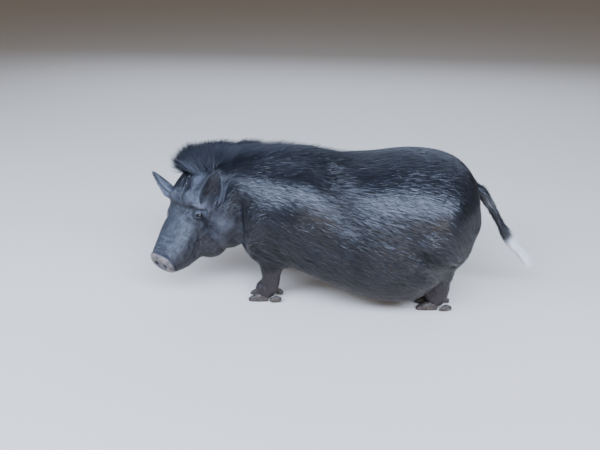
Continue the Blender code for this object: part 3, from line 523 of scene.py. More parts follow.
# %% [markdown]
# ## The skin under the coat
#
# The solids reach out to the tips of the lying coat, so the skin lies a little deeper: 3 mm on the body,
# where the bristles are long, and about 1 mm on the face and feet. The disc of the snout gets its relief
# here too: a rim, a dished middle, faint spokes towards the edge, and the creases that ring the snout
# behind it. The face is divided into smaller triangles first, to hold all this. The trunk has far more than
# its gentle curves need, so a decimate thins it there and leaves the face alone.

# %% The relief of the disc
# The rim's place along the disc's own way from the poll, its half width and height
DISC_RIM, DISC_RIM_WIDE, DISC_RIM_HIGH = 0.218, 0.007, 0.0035

# The creases behind the rim: how far behind it and how deep each is, and the half width of all
RIM_CREASES, CREASE_WIDE = ((0.0090, 0.0040), (0.0185, 0.0020), (0.0280, 0.0014)), 0.0030

# The face of the disc: the height of its middle, its half width and half height, the depth of the dish, the
# height of the raised edge with its place and half width as shares of the disc, and the spokes
DISC_HEIGHT, DISC_HALF, DISC_DISH = -0.185, (0.040, 0.027), 0.0028
DISC_EDGE, EDGE_AT, EDGE_WIDE = 0.0014, 0.86, 0.10
DISC_SPOKE, SPOKES = 0.0003, 24


def disc_relief(on_face):
    """How far the disc's rim, face and creases stand out of the plain snout, for spots in the head's axes."""
    outward = on_face @ (math.cos(DISC_LEAN), 0, math.sin(DISC_LEAN))
    relief = DISC_RIM_HIGH * np.exp(-(((outward - DISC_RIM) / DISC_RIM_WIDE) ** 2))
    upright = on_face @ (-math.sin(DISC_LEAN), 0, math.cos(DISC_LEAN)) - DISC_HEIGHT
    away = np.hypot(on_face[:, 1] / DISC_HALF[0], upright / DISC_HALF[1])
    on_disc = np.clip((outward - DISC_RIM + 0.005) / 0.005, 0, 1)
    spokes = DISC_SPOKE * np.sin(SPOKES * np.arctan2(upright, on_face[:, 1]))
    spokes = spokes * np.clip(away * 3 - 1.6, 0, 1)
    dish = DISC_DISH * np.maximum(0, 1 - 1.35 * away**2)
    relief += on_disc * (DISC_EDGE * np.exp(-(((away - EDGE_AT) / EDGE_WIDE) ** 2)) + spokes - dish)
    for behind, deep in RIM_CREASES:
        crease = np.exp(-(((outward - DISC_RIM + behind) / CREASE_WIDE) ** 2))
        relief -= deep * crease * (on_face[:, 2] > -0.05)
    return relief


print("disc", len(RIM_CREASES), "creases behind the rim and", SPOKES, "spokes")

# %% Pressing the strokes in and sinking the skin by the coat's depth
COAT_DEPTH, SHORT_COAT_DEPTH = 0.0030, 0.0012
TRUNK_FACES, TRUNK_ABOVE = 62000, 0.10
FOOT_TOP, FACE_REACH = 0.08, 0.24


def in_front(spot):
    """True on the head and the front of the neck."""
    return spot.dot(HEAD_SIDE) > HEAD_CUT - 0.02 and spot.x < NECK_CUT


def short_coated(spot):
    """One on the face and feet, where the hair is short, and nothing on the body."""
    return min(1.0, 1.6 * max(near(spot, on_head(0.18, 0, -0.07), FACE_REACH), float(spot.z < FOOT_TOP)))


def sculpt(target):
    """Moves each point of the skin along its normal by the strokes, the relief and the coat's depth."""
    bm = bmesh.new()
    bm.from_mesh(target.data)
    head = [face for face in bm.faces if in_front(face.calc_center_median())]
    edges = {edge for face in head for edge in face.edges}
    bmesh.ops.subdivide_edges(bm, edges=list(edges), cuts=1, use_grid_fill=True)
    bmesh.ops.triangulate(bm, faces=bm.faces)
    bm.normal_update()
    spots = np.array([vert.co[:] for vert in bm.verts])
    on_face = (spots - np.array(POLL)) @ np.array(SKULL)
    moves = pressed(on_face, FACE_STROKES + FINE_FACE_STROKES)
    moves = moves + pressed(spots, BODY_STROKES + FINE_BODY_STROKES)
    moves += disc_relief(on_face) * [in_front(vert.co) for vert in bm.verts]
    short = np.array([short_coated(vert.co) for vert in bm.verts])
    moves -= COAT_DEPTH + (SHORT_COAT_DEPTH - COAT_DEPTH) * short
    for vert, move in zip(bm.verts, moves):
        vert.co += vert.normal * float(move)
    bm.to_mesh(target.data)
    bm.free()


def on_trunk(spot):
    """True behind the head and above the legs."""
    return not in_front(spot) and spot.z > TRUNK_ABOVE


sculpt(skin)
weighted(skin, "trunk", lambda spot: float(on_trunk(spot)))
spare = sum(on_trunk(face.center) for face in skin.data.polygons) - TRUNK_FACES
whole = len(skin.data.polygons)
modified(skin, "DECIMATE", ratio=1 - spare / whole, vertex_group="trunk", vertex_group_factor=1.0)
print("skin", whole, "faces, thinned to", len(skin.data.polygons))

# %% [markdown]
# ## Ears and tail
#
# The ears are too thin for the clay's squares, so they are lofted on their own and joined to the skin by a
# Boolean. A pig's ear is a cupped leaf: rolled almost into a tube at its root and nearly flat at its tip.
# Each section is therefore an arc with a wall on both sides, and the arc opens from the root to the tip.
# The near ear stands up beside the head and the far one lies out past the forehead. The flesh of the tail
# is a thin limb like the legs, joined in the same way.

# %% Boolean helpers and where a ray meets the skin
def combined(target, other, operation):
    """Joins the other shape to the target or cuts it out, and removes it."""
    modifier = target.modifiers.new("Combine", "BOOLEAN")
    modifier.operation = operation
    modifier.solver = "MANIFOLD"
    modifier.object = other
    settle(target)
    bpy.data.objects.remove(other)


def tree_of(target):
    """A search tree of the object's faces, to shoot rays at and to find near spots on."""
    return BVHTree.FromObject(target, bpy.context.evaluated_depsgraph_get())


def surface_spot(tree, middle, inward):
    """Where a line through the middle, coming in from outside, first meets the skin."""
    return tree.ray_cast(middle - inward * 0.4, inward)[0]


# %% Cupped ears
EAR_LENGTH, EAR_WIDTH, EAR_WALL, EAR_ROOT = 0.106, 0.061, 0.0045, 0.014

# Half the arc of the ear's section, in degrees, at its root, and how much less it is at its tip
EAR_ROLL, EAR_OPENS = 105, 62

# Share of the ear's length, and its width there as a share of the whole
EAR = ((0, 0.66), (0.15, 0.86), (0.32, 1), (0.5, 0.99), (0.68, 0.86), (0.84, 0.66), (0.94, 0.44), (1, 0.16))
EARS = {}


def seen_from(hand):
    """The way out from the side of the skull, where the ear stands."""
    return (LEFT * hand * 0.64 + BROW * 0.77).normalized()


def ear(name, tree, hand, base, way, facing, curl):
    """A cupped leaf. The way runs from its root to its tip and the facing is where it opens."""
    way = (SKULL @ Vector(way)).normalized()
    root = surface_spot(tree, on_head(*base), -seen_from(hand)) - way * EAR_ROOT
    facing = SKULL @ Vector(facing)
    facing = (facing - way * facing.dot(way)).normalized()
    side = way.cross(facing)
    EARS[name] = (root, way, facing, side)
    bm = bmesh.new()
    rings = []
    for share, wide in through(EAR, 34):
        half = EAR_WIDTH / 2 * wide
        arc = math.radians(EAR_ROLL - EAR_OPENS * share)
        bend = half / math.sin(min(arc, math.pi / 2))
        spine = root + way * EAR_LENGTH * share - facing * curl * share * share
        wall = EAR_WALL * (1 - 0.55 * share)

        def place(c, s, half=half, arc=arc, bend=bend, spine=spine, wall=wall):
            turn = c * arc
            rim = bend + (wall / 2 if s < 0 else -wall / 2) * (1 - 0.6 * c * c)
            return spine + side * rim * math.sin(turn) + facing * (bend * 0.8 - rim * math.cos(turn))

        rings.append(ring(bm, 48, place))
    skin_over(bm, rings)
    return object_of(bm, name)


# Each ear's root, the way to its tip and where it opens, in the head's axes, and how far its tip bends back
LEFT_EAR = ((0.056, 0.083, -0.030), (-0.62, 0.45, 0.64), (0.78, 0.46, 0.43), 0.012)
RIGHT_EAR = ((0.060, -0.090, -0.034), (-0.26, -0.93, 0.30), (0.84, -0.10, 0.50), 0.006)

# The tail's flesh fills this share of the solid, which also holds its hair
TAIL_FLESH = 0.8

clay_tree = tree_of(skin)
combined(skin, ear("left", clay_tree, 1, *LEFT_EAR), "UNION")
combined(skin, ear("right", clay_tree, -1, *RIGHT_EAR), "UNION")
tail_flesh = [(x, y, z, half * TAIL_FLESH, deep * TAIL_FLESH) for x, y, z, half, deep in TAIL]
combined(skin, sweep("tail flesh", tail_flesh, 30, 16), "UNION")
print("skin with ears and tail", len(skin.data.polygons), "faces")

# %% [markdown]
# ## Eye sockets and lids
#
# A pig's eye is small and deep, and what shows is a slit between two thick lids. The lids are an ellipsoid
# of flesh added round the eye, a ball hollows the socket, and a flat lens shape cuts the slit, longer along
# the face than across it. The eyeball itself comes later, as a piece of its own that fits the socket.

# %% Lids, sockets and the slit between the lids
EYE_RADIUS, SOCKET_GAP = 0.0115, 0.0003
LIDS, LID_OPENING = (0.0205, 0.0160, 0.0146), (0.0122, 0.0058, 0.0110)
EYES = {}
for hand, side in ((1, "left"), (-1, "right")):
    low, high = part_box(f"eye_{side}")
    middle = (Vector(low) + Vector(high)) / 2 - STEP
    outward = (LEFT * hand * 0.70 + BROW * 0.68 + FORWARD * 0.20).normalized()
    long_way = LEFT * hand * 0.62 - FORWARD * 0.60 - BROW * 0.45
    long_way = (long_way - outward * long_way.dot(outward)).normalized()
    turn = Matrix((long_way, outward.cross(long_way), outward)).transposed()
    EYES[side] = (middle, turn)
    combined(skin, ball("lids", middle, LIDS, turn, 24), "UNION")
    combined(skin, ball("socket", middle, (EYE_RADIUS + SOCKET_GAP,) * 3, turn, 16), "DIFFERENCE")
    combined(skin, ball("opening", middle + outward * EYE_RADIUS, LID_OPENING, turn, 24), "DIFFERENCE")
    print(side, "eye at", [round(v, 3) for v in middle])

# %% [markdown]
# ## Mouth and nostrils
#
# The closed mouth is a thin line that runs from the corner of the jaw round under the disc. A blade bent
# along that line cuts it, with one edge inside the snout and one in the air. The nostrils are two hollows
# in the disc's face. Afterwards a light smoothing rounds the seams of the ears, tail and lids, because skin
# has no hard corner where an ear begins.

# %% Mouth line, nostrils and softened seams
# Half of the mouth line, from the corner to the front: ahead, left and above the poll
MOUTH = (
    (0.170, 0.068, -0.112),
    (0.190, 0.062, -0.105),
    (0.212, 0.055, -0.096),
    (0.234, 0.047, -0.088),
    (0.252, 0.034, -0.081),
    (0.261, 0.017, -0.077),
    (0.263, 0.000, -0.076),
)
MOUTH_DEEP, MOUTH_PROUD, MOUTH_OPEN = 0.008, 0.006, 0.0026
NOSTRIL_APART, NOSTRIL_HEIGHT, NOSTRIL = 0.0180, -0.038, (0.0140, 0.0068, 0.0080)


def mouth_blade(tree):
    """A thin bent blade that follows the closed lips round the snout."""
    half = list(MOUTH)
    path = half + [(ahead, -left, above) for ahead, left, above in reversed(half[:-1])]
    bm = bmesh.new()
    rings = []
    for i, (ahead, left, above) in enumerate(path):
        before, after = path[max(i - 1, 0)], path[min(i + 1, len(path) - 1)]
        along = SKULL @ (Vector(after) - Vector(before))
        outward = along.cross(BROW).normalized()
        middle = on_head(ahead, left, above)
        if outward.dot(middle - on_head(0.15, 0, above)) < 0:
            outward = -outward
        lip = surface_spot(tree, middle, -outward)
        end = 0.35 if i in (0, len(path) - 1) else 1.0

        def place(c, s, lip=lip, outward=outward, end=end):
            deep = -MOUTH_DEEP * end if c < -0.5 else (MOUTH_PROUD if c > 0.5 else 0)
            open_by = MOUTH_OPEN / 2 * s * end * (1.0 if abs(c) < 0.5 else 0.4)
            return lip + outward * deep + BROW * open_by

        rings.append(ring(bm, 4, place))
    skin_over(bm, rings)
    return object_of(bm, "mouth blade")


def nostril(tree, hand):
    """A hollow for one nostril, in the face of the snout."""
    middle = on_head(DISC_AHEAD, hand * NOSTRIL_APART, NOSTRIL_HEIGHT)
    mouth = surface_spot(tree, middle, -DISC_FACE)
    turn = Matrix((DISC_FACE, LEFT, DISC_FACE.cross(LEFT))).transposed()
    return ball("nostril", mouth, NOSTRIL, turn, rings=14)


skin_tree = tree_of(skin)
combined(skin, mouth_blade(skin_tree), "DIFFERENCE")
for hand in (1, -1):
    combined(skin, nostril(skin_tree, hand), "DIFFERENCE")


def seams(spot):
    """One near the roots of the ears and tail and round the lids, where the joined skin is smoothed."""
    found = [near(spot, root + way * EAR_ROOT, 0.045) for root, way, _, _ in EARS.values()]
    found.append(near(spot, (0.335, 0, 0.355), 0.06))
    found += [0.6 * near(spot, middle, 0.026) for middle, _ in EYES.values()]
    return min(1.0, 1.5 * max(found))


weighted(skin, "seams", seams)
modified(skin, "SMOOTH", factor=0.5, iterations=5, vertex_group="seams")
modified(skin, "TRIANGULATE")
print("whole skin", len(skin.data.polygons), "faces")

# %% [markdown]
# ## Which way the coat lies
#
# Hair on an animal runs like water: back from the snout over the brow, back along the trunk, down over the
# rump and down the legs. A field of directions says this once for every place, and every bristle then
# follows it. Combing by hand in a groom tool gives the same thing, but a field can be read and changed in
# one line.
#
# The coat isn't equally sleek everywhere. On the shoulder and the flank it lies flat and mirrors the light,
# and at the waist, along the spine, low on the flank and on the head it is rougher, so the light breaks up.
# A second field says how rough. It doesn't turn the bristles, but it tilts and rounds their shading, and
# where it is rough at the waist the strands are darker, which is painted shade.

# %% Smooth fades, and which spots are on an ear
def fade(spots, centre, reach):
    """Like near, for many spots at once."""
    away = np.linalg.norm(spots - np.array(centre), axis=1) / reach
    return np.maximum(0.0, 1 - away * away) ** 2


def step_up(values, low, high):
    """Nothing below low, one above high, and a smooth rise between."""
    share = np.clip((values - low) / (high - low), 0, 1)
    return share * share * (3 - 2 * share)


def in_ear(spots, name):
    """How far along the ear each spot is, and one where it belongs to the ear."""
    root, way, facing, side = (np.array(part) for part in EARS[name])
    along = (spots - root) @ way / EAR_LENGTH
    across = np.abs((spots - root) @ side)
    deep = (spots - root) @ facing
    belongs = (along > 0.16) & (along < 1.05) & (across < 0.038) & (deep > -0.020) & (deep < 0.045)
    return along, belongs.astype(float)


# %% How rough the coat is, and the field of directions
def ruffled(spots):
    """Nothing on the shoulder and flank, where the coat lies sleek, and up to one where it is rough."""
    x, _, z = spots.T
    waist = np.exp(-(((x + 0.112 - (0.436 - z) * 0.58) / 0.036) ** 2)) * step_up(z, 0.25, 0.33)
    low = 0.45 * step_up(-z, -0.335, -0.315)
    high = 0.6 * step_up(z, 0.415, 0.440)
    head = 0.5 * step_up(spots @ np.array(HEAD_SIDE), HEAD_CUT - 0.06, HEAD_CUT) * (x < NECK_CUT)
    return np.maximum.reduce([waist, low, high, head])


# Between the left and right legs' places along x, fore and hind, and how far out from the middle legs begin
FORE_X, HIND_X, LEG_INSIDE = -0.245, 0.215, 0.055


def lie_of(spots, normals):
    """The way the hair points at each spot, along the skin."""
    x, y, z = spots.T
    _, left, above = ((spots - np.array(POLL)) @ np.array(SKULL)).T
    rump = step_up(x, 0.16, 0.33)
    flank = step_up(np.abs(y), 0.06, 0.20)
    lie = np.stack([1 - 0.45 * rump, 0.15 * y, -0.10 - 0.28 * flank - 0.75 * rump], 1)
    head = step_up(spots @ np.array(HEAD_SIDE), HEAD_CUT - 0.05, HEAD_CUT + 0.03) * (x < NECK_CUT + 0.05)
    cheek = step_up(np.abs(left), 0.03, 0.09) * step_up(-above, 0.03, 0.12)
    back = -np.array(FORWARD) * (1 - 0.35 * cheek)[:, None]
    back = back + np.array(LEFT) * (np.sign(left) * (0.25 + 0.25 * cheek))[:, None]
    back = back - np.array(BROW) * (0.55 * cheek)[:, None]
    lie = lie * (1 - head)[:, None] + back * head[:, None]
    beside_leg = np.minimum(np.abs(x - FORE_X), np.abs(x - HIND_X)) < 0.075
    leg = step_up(-z, -0.15, -0.11) * (np.abs(y) > LEG_INSIDE) * beside_leg
    lie = lie * (1 - leg)[:, None] + np.array((0.22, 0, -1.0)) * leg[:, None]
    for name in EARS:
        belongs = in_ear(spots, name)[1][:, None]
        lie = lie * (1 - belongs) + np.array(EARS[name][1]) * belongs
    lie -= normals * (lie * normals).sum(1)[:, None]
    return lie / np.maximum(np.linalg.norm(lie, axis=1), 1e-6)[:, None]


back_middle = lie_of(np.array([[0.0, 0.0, 0.44]]), np.array([[0.0, 0.0, 1.0]]))[0]
print("on the middle of the back the hair points to", [round(float(v), 2) for v in back_middle])

# %% [markdown]
# ## Where the coat changes colour, and where light is painted on it
#
# The pig is black, but not everywhere. The legs, the underside and the chin are a dusty brown, and the tail
# ends in a white tuft. Paler, greyish bristles pale the forehead, mark the edges of the ears and dapple
# the whole face a little. Over that, painted highlights lie on the forehead, the brow bulges, the lit band
# of the jowl and the top of the snout, and painted light brightens the crest and the top of the tail's
# root. The disc of the snout is bare and greyish pink, dark only in the nostrils. One function gives these
# four marks, painted light included, for any spot, and both the skin and every bristle carry what it says
# at their own place.

# %% The markings, with painted light on the face, crest and tail
DISC_MIDDLE = on_head(0.2895, 0, -0.0231)
NOSTRIL_SPOT = (0.289, 0.018, -0.027)
FACE_BEHIND = -0.35

# The dapples of the face are patches of paler bristle, a centimetre or two across. They come from six waves
# that cross each other, each given by its cycles a metre along x, y and z, and bent by slower waves.
WAVES = ((41, 23, -34, 58, -13, 71), (-27, 47, 36, 31, 22, -40), (38, -19, 43, -46, 27, 9))
DAPPLE = 2 * math.pi * np.array(WAVES)
DAPPLE_BEND, SLOWER, DAPPLE_PALE = 2.2, 0.45, 0.16


def dappled(spots):
    """One in the middle of a pale dapple, and nothing between two."""
    bend = DAPPLE_BEND * np.sin(spots @ DAPPLE[:, ::-1] * SLOWER)
    return step_up(np.sin(spots @ DAPPLE + bend).sum(1), -0.6, 2.4)


def marks_and_painted_light(spots):
    """Brown, white, grey and bare, each from nothing to one. Grey and white hold painted light too."""
    x, y, z = spots.T
    face = x < FACE_BEHIND
    ahead, left, above = ((spots - np.array(POLL)) @ np.array(SKULL)).T
    brown = 0.85 * step_up(-z, -0.210, -0.060)
    brown = np.maximum(brown, 0.35 * step_up(ahead, 0.12, 0.20) * step_up(-above, 0.02, 0.09) * face)
    white = step_up(x, 0.420, 0.438)
    # A painted highlight on the top of the tail's root
    white = np.maximum(white, 0.12 * fade(spots, (0.362, 0, 0.330), 0.030))
    folded = np.stack([ahead, np.abs(left), above], 1)
    # Paler bristles on the forehead, with a painted highlight over them
    pale_and_painted_light = 0.70 * fade(spots, on_head(0.018, 0.038, 0.006), 0.042) * step_up(ahead, -0.010, 0.006)
    # Painted highlights on the brow bulges, on both sides
    pale_and_painted_light = np.maximum(pale_and_painted_light, 0.80 * fade(folded, (0.080, 0.082, 0.004), 0.046))
    pale_and_painted_light = np.maximum(pale_and_painted_light, 0.50 * fade(folded, (0.078, 0.034, 0.002), 0.028))
    # Painted highlights on the lit band of the jowl and below it
    pale_and_painted_light = np.maximum(pale_and_painted_light, 0.40 * fade(folded, (0.117, 0.148, -0.036), 0.052))
    pale_and_painted_light = np.maximum(pale_and_painted_light, 0.30 * fade(folded, (0.150, 0.118, -0.080), 0.045))
    # Painted light on the top of the snout
    pale_and_painted_light = np.maximum(pale_and_painted_light, 0.14 * step_up(ahead, 0.105, 0.135) * step_up(above, -0.05, -0.02) * face)
    pale_and_painted_light = pale_and_painted_light + DAPPLE_PALE * dappled(spots) * step_up(ahead, 0.02, 0.06) * face
    # Painted light: the crest is paled to stand for the sky light that its standing bristles would catch
    crest_painted_light = np.exp(-((y / 0.05) ** 2)) * step_up(z, 0.36, 0.40) * step_up(-x, 0.10, 0.30)
    pale_and_painted_light = np.maximum(pale_and_painted_light, 0.15 * crest_painted_light)
    bare = step_up((spots - np.array(DISC_MIDDLE)) @ np.array(DISC_FACE), -0.010, -0.004) * face
    bare *= 1 - step_up(fade(folded, NOSTRIL_SPOT, 0.016), 0.25, 0.6)
    for name in EARS:
        root, _, _, side = (np.array(part) for part in EARS[name])
        along, belongs = in_ear(spots, name)
        outline = np.interp(along, *np.array(EAR).T) * EAR_WIDTH / 2
        edge = np.abs((spots - root) @ side) / outline
        pale_and_painted_light = np.maximum(pale_and_painted_light, 0.55 * belongs * step_up(edge, 0.72, 0.95))
        pale_and_painted_light = np.maximum(pale_and_painted_light, 0.15 * belongs * step_up(along, 0.6, 1.0))
    return np.stack([brown, white, pale_and_painted_light, bare], 1)


print("marks on the middle of the disc", marks_and_painted_light(np.array([DISC_MIDDLE]))[0].round(2))

# %% [markdown]
# ## Bristles
#
# A pot-bellied pig has no wool, only coarse bristles, 3 to 5 cm long on the body, that lie in thin
# overlapping strands. Each strand here is a slim wedge of three sides that starts inside the skin and ends
# in a point. A hair system would draw millions of curves, but curves aren't solid: a mesh of wedges can be
# printed, exported and lit like any other surface. The roots are scattered over the skin's faces, evenly,
# in proportion to each face's area and to how dense the coat should be there.

# %% Scattering roots over the skin
draw = np.random.default_rng(7)


def corners_of(target):
    """The places of all points of a mesh, as one array."""
    spots = np.empty(len(target.data.vertices) * 3)
    target.data.vertices.foreach_get("co", spots)
    return spots.reshape(-1, 3)


skin.data.calc_loop_triangles()
CORNERS = corners_of(skin)
FACES = np.empty(len(skin.data.loop_triangles) * 3, int)
skin.data.loop_triangles.foreach_get("vertices", FACES)
FACES = FACES.reshape(-1, 3)
slopes = np.empty(len(skin.data.vertices) * 3)
skin.data.vertex_normals.foreach_get("vector", slopes)
SLOPES = slopes.reshape(-1, 3)
CENTRES = CORNERS[FACES].mean(1)
AREAS = np.linalg.norm(
    np.cross(CORNERS[FACES[:, 1]] - CORNERS[FACES[:, 0]], CORNERS[FACES[:, 2]] - CORNERS[FACES[:, 0]]), axis=1
) / 2
skin_tree = tree_of(skin)
print("skin area", round(AREAS.sum(), 3), "square metres")


def scattered(wanted, count):
    """Roots and normals spread evenly over the faces, in proportion to the wanted density there."""
    count = count
    total = np.cumsum(AREAS * wanted)
    picks = (np.arange(count) + draw.random(count)) / count * total[-1]
    face = np.searchsorted(total, picks)
    a, b = np.sqrt(draw.random(count)), draw.random(count)
    shares = np.stack([1 - a, a * (1 - b), a * b], 1)[:, :, None]
    roots = (CORNERS[FACES[face]] * shares).sum(1)
    normals = (SLOPES[FACES[face]] * shares).sum(1)
    return roots, normals / np.linalg.norm(normals, axis=1)[:, None]


# %% [markdown]
# ## One mesh for many strands
#
# Tens of thousands of wedges are too many to make one by one, so arrays hold all of them at once: every
# strand has the same number of sections, and so the same pattern of triangles. A lying coat shines as one
# surface with a fine grain, not as a heap of separate rods. That is why the strands are shaded by the
# coat's own slope, with a small tilt for each strand, and not by their own flat sides. Each strand also
# stores a tone, the marks and painted light at its root and, for baking, a small patch of the map at its
# root's own place.

# %% The corners, shading directions and triangles of strands
RIDGE, ROOT_WIDE, TAPER = 0.35, 0.8, 1.6
TILT, ROUGH_TILT, ROUGH_ROUND = 0.10, 2.2, 0.35


def unit(vectors):
    """The same directions, one long."""
    return vectors / np.maximum(np.linalg.norm(vectors, axis=-1, keepdims=True), 1e-9)


def strand_corners(rings, normals, side, share, widths):
    """Left, right and ridge at each section of every strand, and its tip."""
    wide = widths[:, None] * (1 - share**TAPER)[None] / 2
    wide[:, 0] *= ROOT_WIDE
    left = rings[:, :-1] - side[:, None] * wide[:, :, None]
    right = rings[:, :-1] + side[:, None] * wide[:, :, None]
    ridge = rings[:, :-1] + normals[:, None] * wide[:, :, None] * RIDGE
    belt = np.stack([left, right, ridge], 2).reshape(len(rings), -1, 3)
    return np.concatenate([belt, rings[:, -1:]], 1)


def strand_shine(rings, slopes, side, lies, sleek):
    """The directions that the strands are shaded by: the coat's slope, tilted for each strand and rounded off
    across it. A sleek strand is hardly rounded."""
    rough = ruffled(rings[:, 0])[:, None, None]
    tilt = draw.normal(0, TILT, (len(rings), 2, 1)) * (1 + ROUGH_TILT * rough)
    surface = unit(slopes + (side * tilt[:, 0] + lies * tilt[:, 1])[:, None])
    round_off = np.array((-1.0, 1.0, 0.0))[None, None, :, None] * side[:, None, None]
    round_off = round_off * (1 - sleek + ROUGH_ROUND * rough[..., None])
    shine = (surface[:, :-1, None] + round_off).reshape(len(rings), -1, 3)
    return unit(np.concatenate([shine, surface[:, -1:]], 1))


def strand_faces(count, per):
    """The triangles of all strands, as corner numbers: the root's end, the three sides and the tip."""
    faces = [(0, 2, 1)]
    for i in range(0, per - 4, 3):
        for a, b in ((0, 1), (1, 2), (2, 0)):
            faces += [(i + a, i + b, i + 3 + b), (i + a, i + 3 + b, i + 3 + a)]
    faces += [(per - 4 + a, per - 4 + b, per - 1) for a, b in ((0, 1), (1, 2), (2, 0))]
    return (np.array(faces)[None] + np.arange(count)[:, None, None] * per).reshape(-1)


print("a strand of three sections has", len(strand_faces(1, 7)) // 3, "triangles")

# %% The mesh of all strands of a piece, with what it stores
PATCH = 0.003


def stored(mesh, name, values):
    """Four values for every point of the mesh, as a colour that a material can read."""
    mesh.attributes.new(name, "FLOAT_COLOR", "POINT").data.foreach_set("color", values.reshape(-1))


def joined_strands(name, rings, normals, slopes, lies, widths, places, tint, sleek):
    """A piece of coat as one mesh. Rings are the middles of each strand's sections, the last being its tip.
    The normals are where its ridge points, and the slopes are the normals of the coat as a whole."""
    count, steps = rings.shape[:2]
    side = np.cross(normals, lies)
    share = np.linspace(0, 1, steps)[:-1]
    spots = strand_corners(rings, normals, side, share, widths)
    per = spots.shape[1]
    shine = strand_shine(rings, slopes, side, lies, sleek)
    faces = strand_faces(count, per)
    mesh = bpy.data.meshes.new(name)
    mesh.vertices.add(count * per)
    mesh.vertices.foreach_set("co", spots.reshape(-1))
    mesh.loops.add(len(faces))
    mesh.loops.foreach_set("vertex_index", faces.astype(np.int32))
    mesh.polygons.add(len(faces) // 3)
    mesh.polygons.foreach_set("loop_start", np.arange(0, len(faces), 3, dtype=np.int32))
    mesh.update(calc_edges=True)
    mesh.shade_smooth()
    mesh.normals_split_custom_set_from_vertices(shine.reshape(-1, 3))
    tones = np.stack([draw.random(count), tint, np.zeros(count), np.ones(count)], 1)
    stored(mesh, "strand", np.repeat(tones, per, axis=0))
    stored(mesh, "marks_and_painted_light", np.repeat(marks_and_painted_light(rings[:, 0]), per, axis=0))
    along = np.append(np.repeat(share, 3), 1.0)
    corner = np.append(np.tile((-0.5, 0.5, 0.0), steps - 1), 0.0)
    patch = np.stack([corner, along - 0.5], 1) * PATCH
    map_at = (places[:, None] + patch[None]).reshape(-1, 2)[faces]
    mesh.uv_layers.new(name="OFBake").data.foreach_set("uv", map_at.reshape(-1))
    made = bpy.data.objects.new(name, mesh)
    bpy.context.scene.collection.objects.link(made)
    print(name, count, "strands", len(faces) // 3, "triangles")
    return made


# %% [markdown]
# ## Laying the strands down
#
# Hair leaves the skin at a slant and lies along it, each tip over the next roots. Here the middle and the
# tip of each strand are laid back onto the skin by a nearest-point search, so that no strand stands off a
# bulge or dips under a fold, and a short crease is bridged. Strands near one another lean to a shared tip,
# because real hair clumps. Without that the coat would look like velvet.

# %% Laying strands on the skin
BRIDGE, ROOT_DEPTH, ABOVE_FLOOR = 0.0025, 0.0016, 0.0015
SLEEK, STRAY, LEAN, ROOTS_APART = 0.8, 0.05, 0.35, 0.0039


def on_skin(spots, height):
    """Each spot moved to its height over the nearest skin, or a little higher where it bridges a crease. The
    second part of the answer is the skin's normal there."""
    found, slopes = np.empty_like(spots), np.empty_like(spots)
    for i, spot in enumerate(spots):
        hit, slope, _, _ = skin_tree.find_nearest(spot)
        over = (Vector(spot) - hit).dot(slope)
        found[i] = hit + slope * min(max(over, height[i]), height[i] + BRIDGE)
        slopes[i] = slope
    return found, slopes


def turned(lies, normals, angle):
    """The lies, each turned about its normal by its own angle."""
    side = np.cross(normals, lies)
    return lies * np.cos(angle)[:, None] + side * np.sin(angle)[:, None]


def laid_strands(name, roots, normals, length, width, height, unwrap, clump=0.010):
    """A piece of coat. Its strands lie on the skin and lean to the tip of the nearest clump."""
    count = len(roots)
    lies = turned(lie_of(roots, normals), normals, draw.normal(0, STRAY, count))
    length = length * draw.uniform(0.75, 1.25, count)
    leaders = np.arange(0, count, max(2, int((clump / ROOTS_APART) ** 2)))
    finder = KDTree(len(leaders))
    for i, leader in enumerate(leaders):
        finder.insert(roots[leader], i)
    finder.balance()
    chief = leaders[[finder.find(root)[1] for root in roots]]
    tips = roots + lies * length[:, None]
    shared = tips[chief] + (roots - roots[chief]) * 0.25
    far = np.linalg.norm(shared - tips, axis=1) > clump * 2
    tips = np.where(far[:, None], tips, tips * (1 - LEAN) + shared * LEAN)
    height = height * draw.uniform(0.7, 1.4, count)
    middles, middle_slopes = on_skin(roots * 0.5 + tips * 0.5, height * 0.75)
    tips, tip_slopes = on_skin(tips, height)
    rings = np.stack([roots - normals * ROOT_DEPTH, middles, tips], 1)
    slopes = unit(np.stack([normals, normals + middle_slopes, normals + middle_slopes + tip_slopes], 1))
    way = tips - roots
    way = unit(way - normals * (way * normals).sum(1)[:, None])
    for ring_spots in (rings[:, 1], rings[:, 2]):
        ring_spots[:, 2] = np.maximum(ring_spots[:, 2], ABOVE_FLOOR)
    # Painted shade: rough strands at the waist get a darker tone, for the hollow behind the shoulder
    waist = (roots[:, 0] > -0.14) * (roots[:, 0] < 0)
    tint = draw.random(count)[chief] * (1 - 0.7 * ruffled(roots) * waist)
    width = width * draw.uniform(0.75, 1.25, count)
    return joined_strands(name, rings, normals, slopes, way, width, unwrap(roots), tint, SLEEK)


def around(origin, axis, zero):
    """An unwrap of a long form: along its axis, and the angle about it. It fills a square."""
    axis, zero = Vector(axis).normalized(), Vector(zero)
    zero = (zero - axis * zero.dot(axis)).normalized()
    third = np.array(axis.cross(zero))

    def unwrap(spots):
        away = spots - np.array(origin)
        along = away @ np.array(axis)
        angle = np.arctan2(away @ third, away @ np.array(zero))
        flat = np.stack([along, angle], 1)
        low, high = flat.min(0), flat.max(0)
        return 0.004 + 0.992 * (flat - low) / (high - low)

    return unwrap


# %% [markdown]
# ## The coat of the trunk and neck
#
# The coat is one on the animal, but a mesh of it all would be too big to handle, so it is made in pieces
# that meet without a gap: four quarters of the trunk and the neck. Each piece scatters its roots only over
# the faces of its own zone. The zones are read off the skin's faces here, for the pieces of the next cells
# too.

